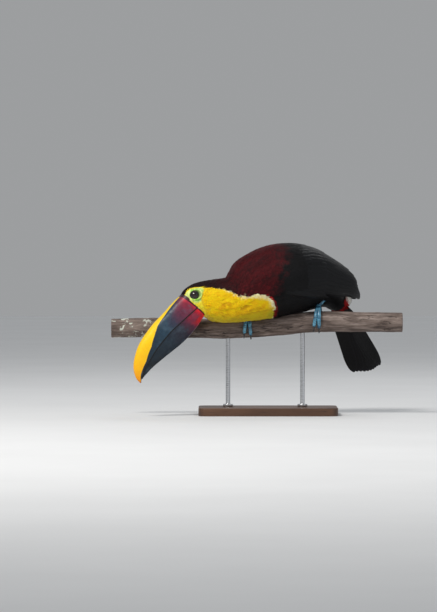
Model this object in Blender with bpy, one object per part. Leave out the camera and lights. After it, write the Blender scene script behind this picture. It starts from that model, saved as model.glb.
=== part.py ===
"""A perched toucan, life size, leaning forward and down along a cut branch on a display stand.

Blender 4.5 script. Lengths are in millimetres times MM, so the model is in metres, +Z up.
The origin is the centre of the underside of the stand's base. The bird faces -X and a little
to -Y, and the branch runs along X.
"""

import math
from collections import namedtuple

import bmesh
import bpy
import numpy as np
from mathutils import Vector

MM = 0.001
GAP = 0.3  # clearance between neighbouring solids

# Stand
BASE_SIZE = (250.0, 140.0, 14.0)
BASE_CORNER = 14.0
BASE_EDGE = 1.5
ROD_RADIUS = 4.0
ROD_PLACES = {"front": -72.0, "back": 62.0}
COLLAR_RADIUS = 9.0
COLLAR_HEIGHT = 5.0

# Branch: height of its centre line and its radius along X
PERCH_KNOTS = ((-282, 156, 17.6), (-180, 157, 18.4), (-68, 154.5, 18.0), (10, 160, 18.8),
               (80, 167, 19.6), (160, 167, 18.6), (242, 166, 18.2))
PERCH_RINGS = 22
PERCH_SIDES = 16

# Body: each station is one cross-section, given by its dorsal and ventral point seen from the
# bird's left side, the depth of its centre, its heading, its half-width and its top-heaviness.
Station = namedtuple("Station", "name xd zd xv zv y yaw half_width lean")
BODY = (
    Station("bill_base", -157.5, 215.0, -115.0, 181.0, -66.0, 17.0, 19.5, 0.00),
    Station("forehead", -150.0, 226.0, -109.0, 174.0, -64.0, 17.0, 22.5, 0.00),
    Station("crown", -134.0, 236.5, -101.0, 169.5, -61.0, 18.0, 25.5, 0.02),
    Station("hind_crown", -113.0, 242.0, -91.0, 168.0, -56.5, 19.0, 28.5, 0.00),
    Station("nape", -91.0, 245.0, -78.0, 167.5, -51.5, 20.0, 31.0, -0.05),
    Station("neck", -74.0, 248.5, -65.0, 167.5, -46.5, 22.0, 33.5, -0.05),
    Station("mantle_foot", -66.0, 261.0, -54.0, 168.0, -42.5, 23.0, 37.0, -0.02),
    Station("mantle_front", -55.0, 277.0, -41.0, 169.0, -37.5, 24.0, 42.0, 0.00),
    Station("shoulder", -30.0, 292.0, -16.0, 171.5, -27.0, 25.0, 47.5, 0.03),
    Station("breast", 0.0, 301.5, 11.0, 176.5, -13.5, 25.0, 51.5, 0.05),
    Station("back", 27.0, 303.0, 36.0, 182.5, -1.5, 25.0, 52.5, 0.05),
    Station("mid_back", 53.0, 301.5, 60.0, 189.0, 10.0, 25.0, 51.5, 0.04),
    Station("lower_back", 83.0, 293.5, 84.0, 194.0, 23.0, 25.0, 48.0, 0.03),
    Station("rump", 113.0, 276.0, 103.0, 197.0, 34.0, 25.0, 41.0, 0.02),
    Station("croup", 134.0, 254.0, 114.0, 198.0, 42.0, 26.0, 32.0, 0.00),
    Station("tail_root", 146.0, 232.0, 121.0, 196.5, 47.5, 28.0, 22.0, 0.00),
    Station("tail_cap", 149.0, 213.0, 131.0, 195.0, 50.5, 30.0, 14.0, 0.00),
)
BODY_SIDES = 24
HEAD_START = 0.02  # station where the head begins, just behind the bill
HEAD_END = 3.55  # station where the head is parted from the neck
NECK_END = 6.6  # station where the neck is parted from the trunk
PARTING = 0.045  # of a station, about the gap between neighbouring parts of the body
HEAD_STEP, TRUNK_STEP, WING_STEP = 0.28, 0.40, 0.50  # of a station, between rings of each loft
BODY_BEND = 25.0  # heading of the trunk
BODY_CROSSING = 35.0  # X where the trunk's middle plane crosses the branch

# Bill: culmen and lower edge pairs seen from the left, then half-width and the share of the
# depth taken by the upper half.
Slice = namedtuple("Slice", "xd zd xv zv half_width upper")
BILL = (
    Slice(-157.5, 215.0, -115.5, 180.5, 20.0, 0.60),
    Slice(-171.0, 201.5, -124.0, 166.5, 20.0, 0.545),
    Slice(-187.0, 183.5, -136.5, 149.5, 19.0, 0.49),
    Slice(-206.0, 163.5, -154.5, 131.0, 17.0, 0.48),
    Slice(-227.5, 133.5, -183.5, 107.5, 13.5, 0.55),
    Slice(-237.0, 109.0, -205.5, 89.0, 10.5, 0.66),
    Slice(-240.0, 88.0, -220.0, 74.0, 7.5, 0.76),
    Slice(-236.3, 70.5, -226.0, 65.5, 4.0, 0.90),
    Slice(-229.5, 61.0, -227.0, 60.0, 1.2, 0.97),
)
BILL_YAW = 17.0
BILL_RINGS = 20
BILL_SIDES = 10
LOWER_BILL_END = 6.75  # slice where the lower half ends, short of the hooked tip
LOWER_BILL_WIDTH = 0.94  # of the upper half's, which overhangs it
UPPER_BILL_POWER, LOWER_BILL_POWER = 0.62, 0.70  # below 1, flatter sides than an ellipse has

# Eyes
EYE_X, EYE_Z = -136.5, 216.0
EYE_RADIUS = 9.5
EYE_SUNK = 5.4  # how far the ball's centre lies inside the cheek

# Wings: a shell on the trunk, cut to a teardrop from the wrist to the tip
WING_THICK = 6.0
WRIST = (-14.0, 232.0)
WING_TIP = (172.0, 207.0)
WING_RISE = 92.0  # reach above the line from wrist to tip
WING_DROP = 12.0  # reach below it
WING_POINTS = 12  # along each of the outline's two edges
WING_MIDLINE, WING_REACH = 1.0, 95.0  # how far from the middle plane each wing begins and ends
WING_SHELL_START = 7.0
WING_SHELL_END = 13.0  # station where the shell leaves the trunk and takes these cross-sections
WING_END = (
    Station("over_croup", 147.0, 258.0, 122.0, 199.5, 44.0, 26.0, 37.0, 0.0),
    Station("past_rump", 161.5, 234.0, 138.0, 201.0, 51.0, 27.0, 27.0, 0.0),
    Station("wing_tips", 167.5, 215.0, 152.0, 203.0, 57.0, 28.0, 16.0, 0.0),
    Station("wing_close", 168.0, 208.5, 160.0, 204.5, 60.0, 28.0, 7.0, 0.0),
)

# Tail
TAIL_ROOT = (122.0, 47.0, 212.0)
TAIL_END = (185.0, 72.0, 76.0)
TAIL_TWIST = 55.0  # heading of the fan, turned further than the trunk
TAIL_SHAPE = ((0.00, 13.0, 6.5), (0.18, 20.0, 5.5), (0.40, 31.0, 4.0), (0.65, 40.0, 2.9),
              (0.84, 43.0, 2.2), (0.93, 39.0, 1.9), (0.98, 28.0, 1.6), (1.00, 14.0, 1.2))
TAIL_SIDES = 18
TAIL_CAMBER = 0.10  # how far the fan arches, as a share of its half-width

# Legs. Angles run round the branch from its top towards -Y; places are along X.
Foot = namedtuple("Foot", "x hub_rise ankle knee toes")
FEET = {
    "left": Foot(91.0, 6.5, (99.0, -1.0, 207.0), (108.0, 14.0, 232.0),
                 {"2": (-9.0, 114.0), "3": (0.5, 122.0), "4": (7.0, -108.0), "1": (-6.0, -84.0)}),
    "right": Foot(-37.0, 5.5, (-20.0, 9.0, 195.0), (26.0, 30.0, 214.0),
                  {"2": (-6.0, 116.0), "3": (6.0, 128.0), "4": (5.0, -110.0), "1": (-6.0, -86.0)}),
}
TOE_RADII = (3.6, 3.5, 3.3, 3.2, 2.9, 2.5)
CLAW_RADII = (2.1, 1.9, 1.5, 1.0, 0.5)
TOE_CLEARANCE = 0.4  # between the toes and the bark
CLAW_ARCH = 2.7
CLAW_SWEEP = 36.0  # degrees round the branch that a claw spans
TARSUS_RADIUS = 4.3
THIGH_RADII = (21.0, 19.0, 14.0, 8.0)
THIGH_SIDES = 14

COLOURS = {
    "bill_yellow": (0.95, 0.55, 0.02, 0.35),
    "bill_dark": (0.03, 0.04, 0.055, 0.35),
    "eye": (0.02, 0.01, 0.008, 0.05),
    "bib": (0.90, 0.60, 0.02, 0.75),
    "maroon": (0.06, 0.012, 0.015, 0.65),
    "black": (0.008, 0.008, 0.010, 0.5),
    "feet": (0.10, 0.22, 0.30, 0.45),
    "claw": (0.03, 0.03, 0.03, 0.3),
    "bark": (0.16, 0.11, 0.085, 0.85),
    "base": (0.045, 0.028, 0.018, 0.4),
    "steel": (0.62, 0.62, 0.62, 0.28),
}


def clear_scene():
    for obj in list(bpy.data.objects):
        bpy.data.objects.remove(obj)


def material(slot):
    found = bpy.data.materials.get(slot)
    if found:
        return found
    made = bpy.data.materials.new(slot)
    made.use_nodes = True
    shader = made.node_tree.nodes["Principled BSDF"]
    red, green, blue, rough = COLOURS[slot]
    shader.inputs["Base Color"].default_value = (red, green, blue, 1.0)
    shader.inputs["Roughness"].default_value = rough
    shader.inputs["Metallic"].default_value = 1.0 if slot == "steel" else 0.0
    return made


def spline(knots, values, at):
    """Cubic Hermite through values at knots, each slope the mean of its two neighbours' chords."""
    knots, values, at = (np.asarray(a, float) for a in (knots, values, at))
    chord = np.diff(values, axis=0) / np.diff(knots)[:, None]
    slope = np.concatenate([chord[:1], (chord[1:] + chord[:-1]) / 2, chord[-1:]])
    low = np.clip(np.searchsorted(knots, at, side="right") - 1, 0, len(knots) - 2)
    span = (knots[low + 1] - knots[low])[:, None]
    t = ((at - knots[low]) / span[:, 0])[:, None]
    return ((2 * t**3 - 3 * t**2 + 1) * values[low] + (t**3 - 2 * t**2 + t) * span * slope[low]
            + (3 * t**2 - 2 * t**3) * values[low + 1] + (t**3 - t**2) * span * slope[low + 1])


def body_rings(stations, sides, swell=0.0):
    """Cross-sections of the body loft at fractional station numbers, grown outwards by swell."""
    rows = spline(np.arange(len(BODY)), [s[1:] for s in BODY], stations)
    return cross_sections(rows, sides, swell)


def cross_sections(rows, sides, swell=0.0):
    """Ovals from rows of xd, zd, xv, zv, y, yaw, half-width and lean: dorsal point first."""
    xd, zd, xv, zv, y, yaw, half_width, lean = rows.T[:, :, None]
    yaw = np.radians(yaw)
    angle = np.linspace(0, 2 * math.pi, sides, endpoint=False)[None, :]
    half_x, half_z = (xd - xv) / 2, (zd - zv) / 2
    half_y = half_x * np.tan(yaw)
    length = np.sqrt(half_x**2 + half_y**2 + half_z**2)
    along = np.cos(angle) * (1 + swell / length)
    across = np.sin(angle) * (1 + lean * np.cos(angle)) * (half_width + swell)
    x = (xd + xv) / 2 + half_x * along + np.sin(yaw) * across
    depth = y + half_y * along - np.cos(yaw) * across
    z = (zd + zv) / 2 + half_z * along
    return np.stack([x, depth, z + 0 * x], axis=2)


def solid(name, mesh_maker, slot):
    """One object from a bmesh filled by mesh_maker, closed, with normals out and smooth faces."""
    bm = bmesh.new()
    mesh_maker(bm)
    bmesh.ops.remove_doubles(bm, verts=bm.verts, dist=0.005 * MM)
    bmesh.ops.recalc_face_normals(bm, faces=bm.faces)
    mesh = bpy.data.meshes.new(name)
    bm.to_mesh(mesh)
    bm.free()
    mesh.shade_smooth()
    mesh.set_sharp_from_angle(angle=math.radians(40))
    obj = bpy.data.objects.new(name, mesh)
    obj.data.materials.append(material(slot))
    bpy.context.scene.collection.objects.link(obj)
    return obj


def loft(name, rings, slot):
    """Closed solid through rings of points in millimetres: bridged side walls and two flat caps."""
    def fill(bm):
        loops = []
        for ring in rings:
            verts = [bm.verts.new(Vector(p) * MM) for p in ring]
            loops.append([bm.edges.new((a, b)) for a, b in zip(verts, verts[1:] + verts[:1])])
            if ring is rings[0] or ring is rings[-1]:
                bm.faces.new(verts)
        for one, two in zip(loops, loops[1:]):
            bmesh.ops.bridge_loops(bm, edges=one + two)
    return solid(name, fill, slot)


def hidden(obj):
    """Marks a cutter, which the build leaves out."""
    obj.hide_render = True
    obj.display_type = "WIRE"
    return obj


def boolean(obj, other, operation):
    step = obj.modifiers.new(f"{operation.lower()}_{other.name}", "BOOLEAN")
    step.operation = operation
    step.object = other
    step.solver = "EXACT"


def tube_rings(path, radii, sides):
    """Circles round a path, on frames carried along it without twist."""
    path = [Vector(p) for p in path]
    ahead = [(b - a).normalized() for a, b in zip(path, path[1:])]
    ahead.append(ahead[-1])
    side = ahead[0].orthogonal().normalized()
    rings = []
    for i, (point, radius) in enumerate(zip(path, radii)):
        middle = ahead[i] if i == 0 else (ahead[i - 1] + ahead[i]).normalized()
        side = (side - middle * side.dot(middle)).normalized()
        up = middle.cross(side)
        turns = [2 * math.pi * k / sides for k in range(sides)]
        rings.append([point + (side * math.cos(a) + up * math.sin(a)) * radius for a in turns])
    return rings


def perch_line(x):
    """Centre height and radius of the branch at X."""
    knots = np.array(PERCH_KNOTS, float)
    return spline(knots[:, 0], knots[:, 1:], np.atleast_1d(x))


def make_perch(name, swell=0.0):
    low, high = PERCH_KNOTS[0][0], PERCH_KNOTS[-1][0]
    places = np.linspace(low - swell, high + swell, PERCH_RINGS)
    rings = []
    for x, (z, radius) in zip(places, perch_line(places)):
        turns = [2 * math.pi * k / PERCH_SIDES for k in range(PERCH_SIDES)]
        rings.append([(x, (radius + swell) * math.sin(a), z + (radius + swell) * math.cos(a))
                      for a in turns])
    return loft(name, rings, "bark")


def make_stand(perch_room):
    """A bevelled plate, and two rods with collars whose tops are cut to the branch's underside."""
    width, depth, height = (side * MM for side in BASE_SIZE)

    def plate(bm):
        bmesh.ops.create_cube(bm, size=1)
        bmesh.ops.scale(bm, verts=bm.verts, vec=(width, depth, height))
        bmesh.ops.translate(bm, verts=bm.verts, vec=(0, 0, height / 2))
        upright = [e for e in bm.edges if abs(e.verts[0].co.z - e.verts[1].co.z) > height / 2]
        bmesh.ops.bevel(bm, geom=upright, offset=BASE_CORNER * MM, segments=5, affect="EDGES",
                        profile=0.5)
        top = [e for e in bm.edges if all(v.co.z > height * 0.99 for v in e.verts)]
        bmesh.ops.bevel(bm, geom=top, offset=BASE_EDGE * MM, segments=2, affect="EDGES",
                        profile=0.5)

    solid("stand_base", plate, "base")
    foot = BASE_SIZE[2] + GAP
    for place, x in ROD_PLACES.items():
        axis_z = float(perch_line(x)[0, 0])
        profile = ((foot, COLLAR_RADIUS), (foot + COLLAR_HEIGHT - 1.0, COLLAR_RADIUS),
                   (foot + COLLAR_HEIGHT, COLLAR_RADIUS - 1.0), (foot + COLLAR_HEIGHT, ROD_RADIUS),
                   (axis_z, ROD_RADIUS))
        rings = [[(x + r * math.sin(a), r * math.cos(a), z)
                  for a in np.linspace(0, 2 * math.pi, 24, endpoint=False)] for z, r in profile]
        rod = loft(f"stand_rod_{place}", rings, "steel")
        boolean(rod, perch_room, "DIFFERENCE")


def body_span(first, last, step, swell=0.0):
    """Rings from one fractional station to another, about a step of a station apart."""
    count = round((last - first) / step) + 1
    return list(body_rings(np.linspace(first, last, count), BODY_SIDES, swell))


def trunk_rings(swell=0.0):
    """The trunk's rings. A grown set, for cutting its neighbours, also runs on past its end."""
    rings = body_span(NECK_END + PARTING, len(BODY) - 1, TRUNK_STEP, swell)
    if swell:
        beyond = rings[-1].mean(axis=0) - rings[-2].mean(axis=0)
        rings.append(rings[-1] + beyond / np.linalg.norm(beyond) * swell)
    return rings


def make_body(perch_room):
    """Head, neck and trunk from one loft, parted by thin cuts, and lying clear of the branch."""
    head = loft("head", body_span(HEAD_START, HEAD_END, HEAD_STEP), "bib")
    neck = loft("neck", body_span(HEAD_END + PARTING, NECK_END, HEAD_STEP), "maroon")
    trunk = loft("trunk", trunk_rings(), "black")
    for part in (head, neck, trunk):
        boolean(part, perch_room, "DIFFERENCE")
    return head, neck, trunk


def surface_point(x, z, side):
    """The point on the head's left (side 1) or right (-1) cheek whose middle-plane place is X, Z,
    and the cheek's outward direction there."""
    yaw = math.radians(BILL_YAW)
    middle = Vector((x, BODY[1].y + (x - (BODY[1].xd + BODY[1].xv) / 2) * math.tan(yaw), z))
    outward = Vector((math.sin(yaw), -math.cos(yaw), 0)) * side
    rings = body_rings(np.linspace(0.2, 3.4, 60), 72)
    points = rings.reshape(-1, 3)
    offsets = points - np.array(middle)
    reach = offsets @ np.array(outward)
    away = np.linalg.norm(offsets - reach[:, None] * np.array(outward), axis=1)
    away[reach < 0] = 1e9
    near = np.argsort(away)[:4]
    return middle + outward * float(reach[near].mean()), outward


def ball(name, centre, radius):
    def fill(bm):
        bmesh.ops.create_uvsphere(bm, u_segments=16, v_segments=10, radius=radius * MM)
        bmesh.ops.translate(bm, verts=bm.verts, vec=Vector(centre) * MM)
    return solid(name, fill, "eye")


def make_eyes(head):
    """A ball in a socket on each cheek."""
    for name, side in (("left", 1), ("right", -1)):
        cheek, outward = surface_point(EYE_X, EYE_Z, side)
        centre = cheek - outward * EYE_SUNK
        ball(f"eye_{name}", centre, EYE_RADIUS)
        socket = hidden(ball(f"socket_{name}", centre, EYE_RADIUS + GAP))
        boolean(head, socket, "DIFFERENCE")


def bill_rows(at):
    """Interpolated bill slices: xd, zd, xv, zv, half-width and upper share."""
    return spline(np.arange(len(BILL)), np.array(BILL, float), at)


def bill_outline(row, upper):
    """One half of a bill slice. The ridge is a narrow round, the sides are flat towards the cutting
    edge, and the two halves meet in a straight line across."""
    xd, zd, xv, zv, half_width, share = row
    yaw = math.radians(BILL_YAW)
    head = BODY[0]
    top, low = Vector((xd, 0, zd)), Vector((xv, 0, zv))
    for point in (top, low):
        point.y = head.y + (point.x - (head.xd + head.xv) / 2) * math.tan(yaw)
    side = Vector((math.sin(yaw), -math.cos(yaw), 0))
    depth = (low - top).length
    down = (low - top) / depth
    gap = GAP / 2
    height = depth * share - gap if upper else depth * (1 - share) - gap
    edge = top + down * (depth * share + (-gap if upper else gap))
    away = -down if upper else down
    power = UPPER_BILL_POWER if upper else LOWER_BILL_POWER
    wide = half_width if upper else half_width * LOWER_BILL_WIDTH
    points = []
    for k in range(BILL_SIDES + 1):
        angle = math.pi * k / BILL_SIDES
        across = math.copysign(abs(math.cos(angle)) ** power, math.cos(angle))
        points.append(edge + side * wide * across + away * height * math.sin(angle))
    return points


def make_bill():
    """Two horny halves that meet along the cutting edges. The upper one hooks past the lower."""
    last = len(BILL) - 1
    for name, upper, end in (("bill_upper", True, last), ("bill_lower", False, LOWER_BILL_END)):
        rows = bill_rows(np.linspace(0, end, BILL_RINGS))
        loft(name, [bill_outline(row, upper) for row in rows], "bill_yellow" if upper else
             "bill_dark")


def wing_outline(side):
    """Teardrop in the trunk's middle plane, from the wrist to the tip: a round front, a high back
    and a nearly straight lower edge."""
    (x0, z0), (x1, z1) = WRIST, WING_TIP
    last = WING_POINTS - 1
    points = []
    for k in range(WING_POINTS):
        u = (1 - math.cos(math.pi * k / last)) / 2
        rise = WING_RISE * math.sin(math.pi * u**0.75) ** 0.7
        points.append((x0 + (x1 - x0) * u, z0 + (z1 - z0) * u + rise))
    for k in range(last - 1, 0, -1):
        u = (1 - math.cos(math.pi * k / last)) / 2
        drop = WING_DROP * math.sin(math.pi * u**0.55) ** 0.6
        points.append((x0 + (x1 - x0) * u, z0 + (z1 - z0) * u - drop))
    bend = math.radians(BODY_BEND)
    outward = Vector((math.sin(bend), -math.cos(bend), 0)) * side
    return [Vector((x, (x - BODY_CROSSING) * math.tan(bend), z)) for x, z in points], outward


def wing_hull():
    """Outer shape of the folded wings: the trunk's loft grown by their thickness, then their own
    cross-sections past the rump."""
    over_trunk = body_span(WING_SHELL_START, WING_SHELL_END, WING_STEP, GAP + WING_THICK)
    past = cross_sections(np.array([s[1:] for s in WING_END], float), BODY_SIDES)
    return over_trunk + list(past)


def make_wings(trunk_room, perch_room):
    """A folded wing on each side: the body loft grown by the wing's thickness, kept inside the
    wing's outline and cut back from the trunk."""
    wings = {}
    for name, side in (("left", 1), ("right", -1)):
        outline, outward = wing_outline(side)
        window = loft(f"window_{name}", [[p + outward * WING_MIDLINE for p in outline],
                                         [p + outward * WING_REACH for p in outline]], "black")
        hidden(window)
        wing = loft(f"wing_{name}", wing_hull(), "black")
        boolean(wing, window, "INTERSECT")
        boolean(wing, trunk_room, "DIFFERENCE")
        boolean(wing, perch_room, "DIFFERENCE")
        wings[name] = wing
    return wings


def tail_rings(swell=0.0):
    """Flat ovals down the tail's line, widening to a rounded end."""
    root, end = Vector(TAIL_ROOT), Vector(TAIL_END)
    along = end - root
    yaw = math.radians(TAIL_TWIST)
    side = Vector((math.sin(yaw), -math.cos(yaw), 0))
    side = (side - along.normalized() * side.dot(along.normalized())).normalized()
    back = along.normalized().cross(side)
    rings = []
    for share, half_width, half_thick in TAIL_SHAPE:
        ring = []
        for k in range(TAIL_SIDES):
            angle = 2 * math.pi * k / TAIL_SIDES
            crown = TAIL_CAMBER * half_width * math.cos(angle) ** 2
            ring.append(root + along * share + side * (half_width + swell) * math.cos(angle)
                        + back * ((half_thick + swell) * math.sin(angle) + crown))
        rings.append(ring)
    return rings


def make_tail(wings, *rooms):
    tail = loft("tail", tail_rings(), "black")
    for room in rooms:
        boolean(tail, room, "DIFFERENCE")
    tail_room = hidden(loft("tail_room", tail_rings(swell=GAP), "black"))
    for wing in wings.values():
        boolean(wing, tail_room, "DIFFERENCE")


def on_branch(x, turn, lift):
    """A point lift millimetres off the bark, turn degrees round the branch from its top."""
    z, radius = perch_line(x)[0]
    turn = math.radians(turn)
    return Vector((x, -(radius + lift) * math.sin(turn), z + (radius + lift) * math.cos(turn)))


def toe_path(foot, spread, sweep):
    """From the hub above the branch, down onto the bark and round it to the root of the claw."""
    points = [hub_of(foot)]
    for share in (0.20, 0.38, 0.58, 0.80, 1.0):
        lift = TOE_RADII[0] + TOE_CLEARANCE + 0.9 * foot.hub_rise * (1 - share) ** 2.2
        points.append(on_branch(foot.x + spread * share**0.8, sweep * share, lift))
    return points


def hub_of(foot):
    return on_branch(foot.x, 0, foot.hub_rise + TOE_RADII[0])


def claw_path(foot, spread, sweep):
    """On round the branch from the toe's end, arching off the bark and back to it at the point."""
    turn = math.copysign(CLAW_SWEEP, sweep)
    points = []
    for share in (0.0, 0.25, 0.5, 0.75, 1.0):
        lift = TOE_RADII[0] + TOE_CLEARANCE - 3.2 * share + CLAW_ARCH * math.sin(math.pi * share)
        points.append(on_branch(foot.x + spread * (1 + 0.06 * share), sweep + turn * share, lift))
    start = (points[1] - points[0]).normalized() * GAP
    return [points[0] + start] + points[1:]


def round_end(path, radii, sides):
    """Tube rings with a small closing ring at each end, so that the ends look blunt."""
    first = Vector(path[0]) - (Vector(path[1]) - Vector(path[0])).normalized() * radii[0] * 0.45
    return tube_rings([first] + list(path), [radii[0] * 0.6] + list(radii), sides)


def make_legs(wings, trunk_room, perch_room):
    """Feathered thigh, then a bare shank and its four toes as one foot, then four claws."""
    for name, foot in FEET.items():
        ankle, knee = Vector(foot.ankle), Vector(foot.knee)
        hub = hub_of(foot)
        shank = [ankle, ankle.lerp(hub, 0.5), hub]
        foot_solid = loft(f"foot_{name}", round_end(shank, [TARSUS_RADIUS] * 3, 10), "feet")
        for digit, (spread, sweep) in foot.toes.items():
            path = toe_path(foot, spread, sweep)
            toe = hidden(loft(f"toe_{name}_{digit}", round_end(path, TOE_RADII, 8), "feet"))
            boolean(foot_solid, toe, "UNION")
            claw_rings = tube_rings(claw_path(foot, spread, sweep), CLAW_RADII, 8)
            claw = loft(f"claw_{name}_{digit}", claw_rings, "claw")
            boolean(claw, perch_room, "DIFFERENCE")
        boolean(foot_solid, perch_room, "DIFFERENCE")
        down = (ankle - knee).normalized()
        path = [knee, knee.lerp(ankle, 0.35), knee.lerp(ankle, 0.7), ankle + down * 1.0]
        thigh = loft(f"thigh_{name}", tube_rings(path, THIGH_RADII, THIGH_SIDES), "black")
        wider = [radius + GAP for radius in THIGH_RADII]
        thigh_room = hidden(loft(f"thigh_room_{name}", tube_rings(path, wider, THIGH_SIDES), "black"))
        boolean(wings[name], thigh_room, "DIFFERENCE")
        boolean(thigh, trunk_room, "DIFFERENCE")
        boolean(thigh, perch_room, "DIFFERENCE")
        shin = (hub - ankle).normalized() * TARSUS_RADIUS
        sleeve = loft(f"sleeve_{name}", tube_rings([ankle - shin, hub + shin * 2],
                                                   [TARSUS_RADIUS + 3 * GAP] * 2, 16), "feet")
        boolean(thigh, hidden(sleeve), "DIFFERENCE")
        boolean(foot_solid, trunk_room, "DIFFERENCE")


def main():
    clear_scene()
    perch_room = hidden(make_perch("perch_room", swell=GAP))
    make_perch("perch")
    make_stand(perch_room)
    trunk_room = hidden(loft("trunk_room", trunk_rings(swell=GAP), "black"))
    head = make_body(perch_room)[0]
    make_eyes(head)
    make_bill()
    wings = make_wings(trunk_room, perch_room)
    make_tail(wings, trunk_room, perch_room)
    make_legs(wings, trunk_room, perch_room)


main()
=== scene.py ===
"""A perched toucan, about life size, leaning forward and down along a cut branch on a display stand.

Lengths are in millimetres times MM, so the model is in metres, +Z up, in the frame of the solids:
the bird faces -X and a little to -Y, and the branch runs along X.
"""

import math

import bpy
import numpy as np
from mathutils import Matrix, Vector


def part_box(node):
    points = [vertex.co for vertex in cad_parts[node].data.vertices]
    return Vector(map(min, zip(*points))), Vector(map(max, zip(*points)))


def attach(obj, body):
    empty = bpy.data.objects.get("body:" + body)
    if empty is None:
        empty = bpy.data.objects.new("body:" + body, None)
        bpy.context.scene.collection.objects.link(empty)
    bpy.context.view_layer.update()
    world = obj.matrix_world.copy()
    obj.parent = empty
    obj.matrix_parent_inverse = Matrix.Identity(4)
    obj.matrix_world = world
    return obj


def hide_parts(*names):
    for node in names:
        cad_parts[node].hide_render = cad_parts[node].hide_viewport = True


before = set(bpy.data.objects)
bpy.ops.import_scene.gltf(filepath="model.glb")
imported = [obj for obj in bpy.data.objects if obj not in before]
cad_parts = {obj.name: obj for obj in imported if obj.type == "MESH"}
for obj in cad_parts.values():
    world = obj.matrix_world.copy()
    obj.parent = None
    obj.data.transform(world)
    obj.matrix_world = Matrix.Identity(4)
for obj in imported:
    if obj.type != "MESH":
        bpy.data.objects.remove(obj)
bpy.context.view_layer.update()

MM = 0.001

# ---------------------------------------------------------------------------------------------
# Studio. A pale seamless floor, a large soft key lamp high on the bird's left, a weaker fill on
# the other side and a lamp behind that draws the edges of the black plumage.

VIEW_TARGET = Vector((-0.0891, 0.0, 0.1957))
VIEW_DISTANCE = 8.0
VIEW_TILT = math.radians(1.0)
VIEW_HEIGHT = 1.1016  # metres in view from top to bottom, at the bird
SENSOR = 36.0
LAMPS = (  # name, place, size in metres, watts, colour
    ("key", (-1.3, -1.9, 2.6), 1.0, 76.0, (1.0, 0.975, 0.94)),
    ("fill", (2.1, -1.8, 1.0), 1.8, 5.0, (0.93, 0.96, 1.0)),
    ("rim", (0.8, 1.7, 2.1), 1.1, 8.0, (1.0, 1.0, 1.0)),
)
SKY_LIGHT = (0.42, 0.43, 0.44)  # what lights the model from all round
SKY_SHOWN = (0.335, 0.342, 0.349)  # what is seen beyond the floor, as bright as the floor there


def paint(red, green, blue):
    """A colour given as it looks, 0 to 255 for each part, in the linear values shaders take."""
    shade = np.array((red, green, blue)) / 255
    return (*np.where(shade <= 0.04045, shade / 12.92, ((shade + 0.055) / 1.055) ** 2.4), 1.0)


def tint(red, green, blue):
    """The same as an array of three, for the points of a mesh."""
    return np.array(paint(red, green, blue)[:3])


def add_node(tree, kind, inputs, **settings):
    """One shader node. An input is a value, or the output socket that it takes its value from."""
    made = tree.nodes.new(kind)
    for name, value in settings.items():
        setattr(made, name, value)
    for name, value in inputs.items():
        if isinstance(value, bpy.types.NodeSocket):
            tree.links.new(value, made.inputs[name])
        else:
            made.inputs[name].default_value = value
    return made


def new_finish(name, **sockets):
    """A Principled material with the given fixed sockets. Returns it with its tree and shader."""
    made = bpy.data.materials.new(name)
    made.use_nodes = True
    shader = made.node_tree.nodes["Principled BSDF"]
    for socket, value in sockets.items():
        shader.inputs[socket.replace("_", " ")].default_value = value
    return made, made.node_tree, shader


def own_place(tree, stretch=(1, 1, 1)):
    """Object coordinates in metres, scaled."""
    place = add_node(tree, "ShaderNodeTexCoord", {}).outputs["Object"]
    return add_node(tree, "ShaderNodeMapping", {"Vector": place, "Scale": stretch}).outputs[0]


def value_of(tree, name, part="Fac"):
    """The value, or with Color the colour, that the mesh's points carry under a name."""
    return add_node(tree, "ShaderNodeAttribute", {}, attribute_name=name).outputs[part]


def wear(tree, shader, colour):
    """The colour, as the shader's own."""
    tree.links.new(colour, shader.inputs["Base Color"])


def grain(tree, place, scale, detail=4.0, rough=0.55, warp=0.0):
    """Noise from 0 to 1 at a place."""
    return add_node(tree, "ShaderNodeTexNoise", {"Vector": place, "Scale": scale, "Detail": detail,
                                                 "Roughness": rough, "Distortion": warp}).outputs[0]


def blend(tree, share, one, two, way="MIX"):
    """Two colours mixed, or multiplied and so on, by a share from 0 to 1."""
    mixer = add_node(tree, "ShaderNodeMix", {0: share, 6: one, 7: two}, data_type="RGBA",
                     blend_type=way)
    return mixer.outputs[2]


def steps(tree, value, *stops):
    """A ramp through (place, colour) stops."""
    ramp = add_node(tree, "ShaderNodeValToRGB", {"Fac": value})
    marks = ramp.color_ramp.elements
    while len(marks) < len(stops):
        marks.new(0.5)
    for mark, (place, colour) in zip(marks, stops):
        mark.position = place
        mark.color = colour
    return ramp.outputs[0]


def spread(tree, value, low, high, to_low=0.0, to_high=1.0):
    """A value carried smoothly from one range to another and held at its ends."""
    return add_node(tree, "ShaderNodeMapRange", {"Value": value, 1: low, 2: high, 3: to_low,
                                                 4: to_high}, interpolation_type="SMOOTHSTEP").outputs[0]


def sums(tree, way, one, two):
    """Two values added, multiplied and so on."""
    return add_node(tree, "ShaderNodeMath", {0: one, 1: two}, operation=way).outputs[0]


def relief(tree, shader, height, depth_mm, strength=1.0):
    """Bump on the shader from a height of 0 to 1 that stands for depth_mm."""
    bump = add_node(tree, "ShaderNodeBump", {"Height": height, "Distance": depth_mm * MM,
                                             "Strength": strength})
    tree.links.new(bump.outputs[0], shader.inputs["Normal"])


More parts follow.
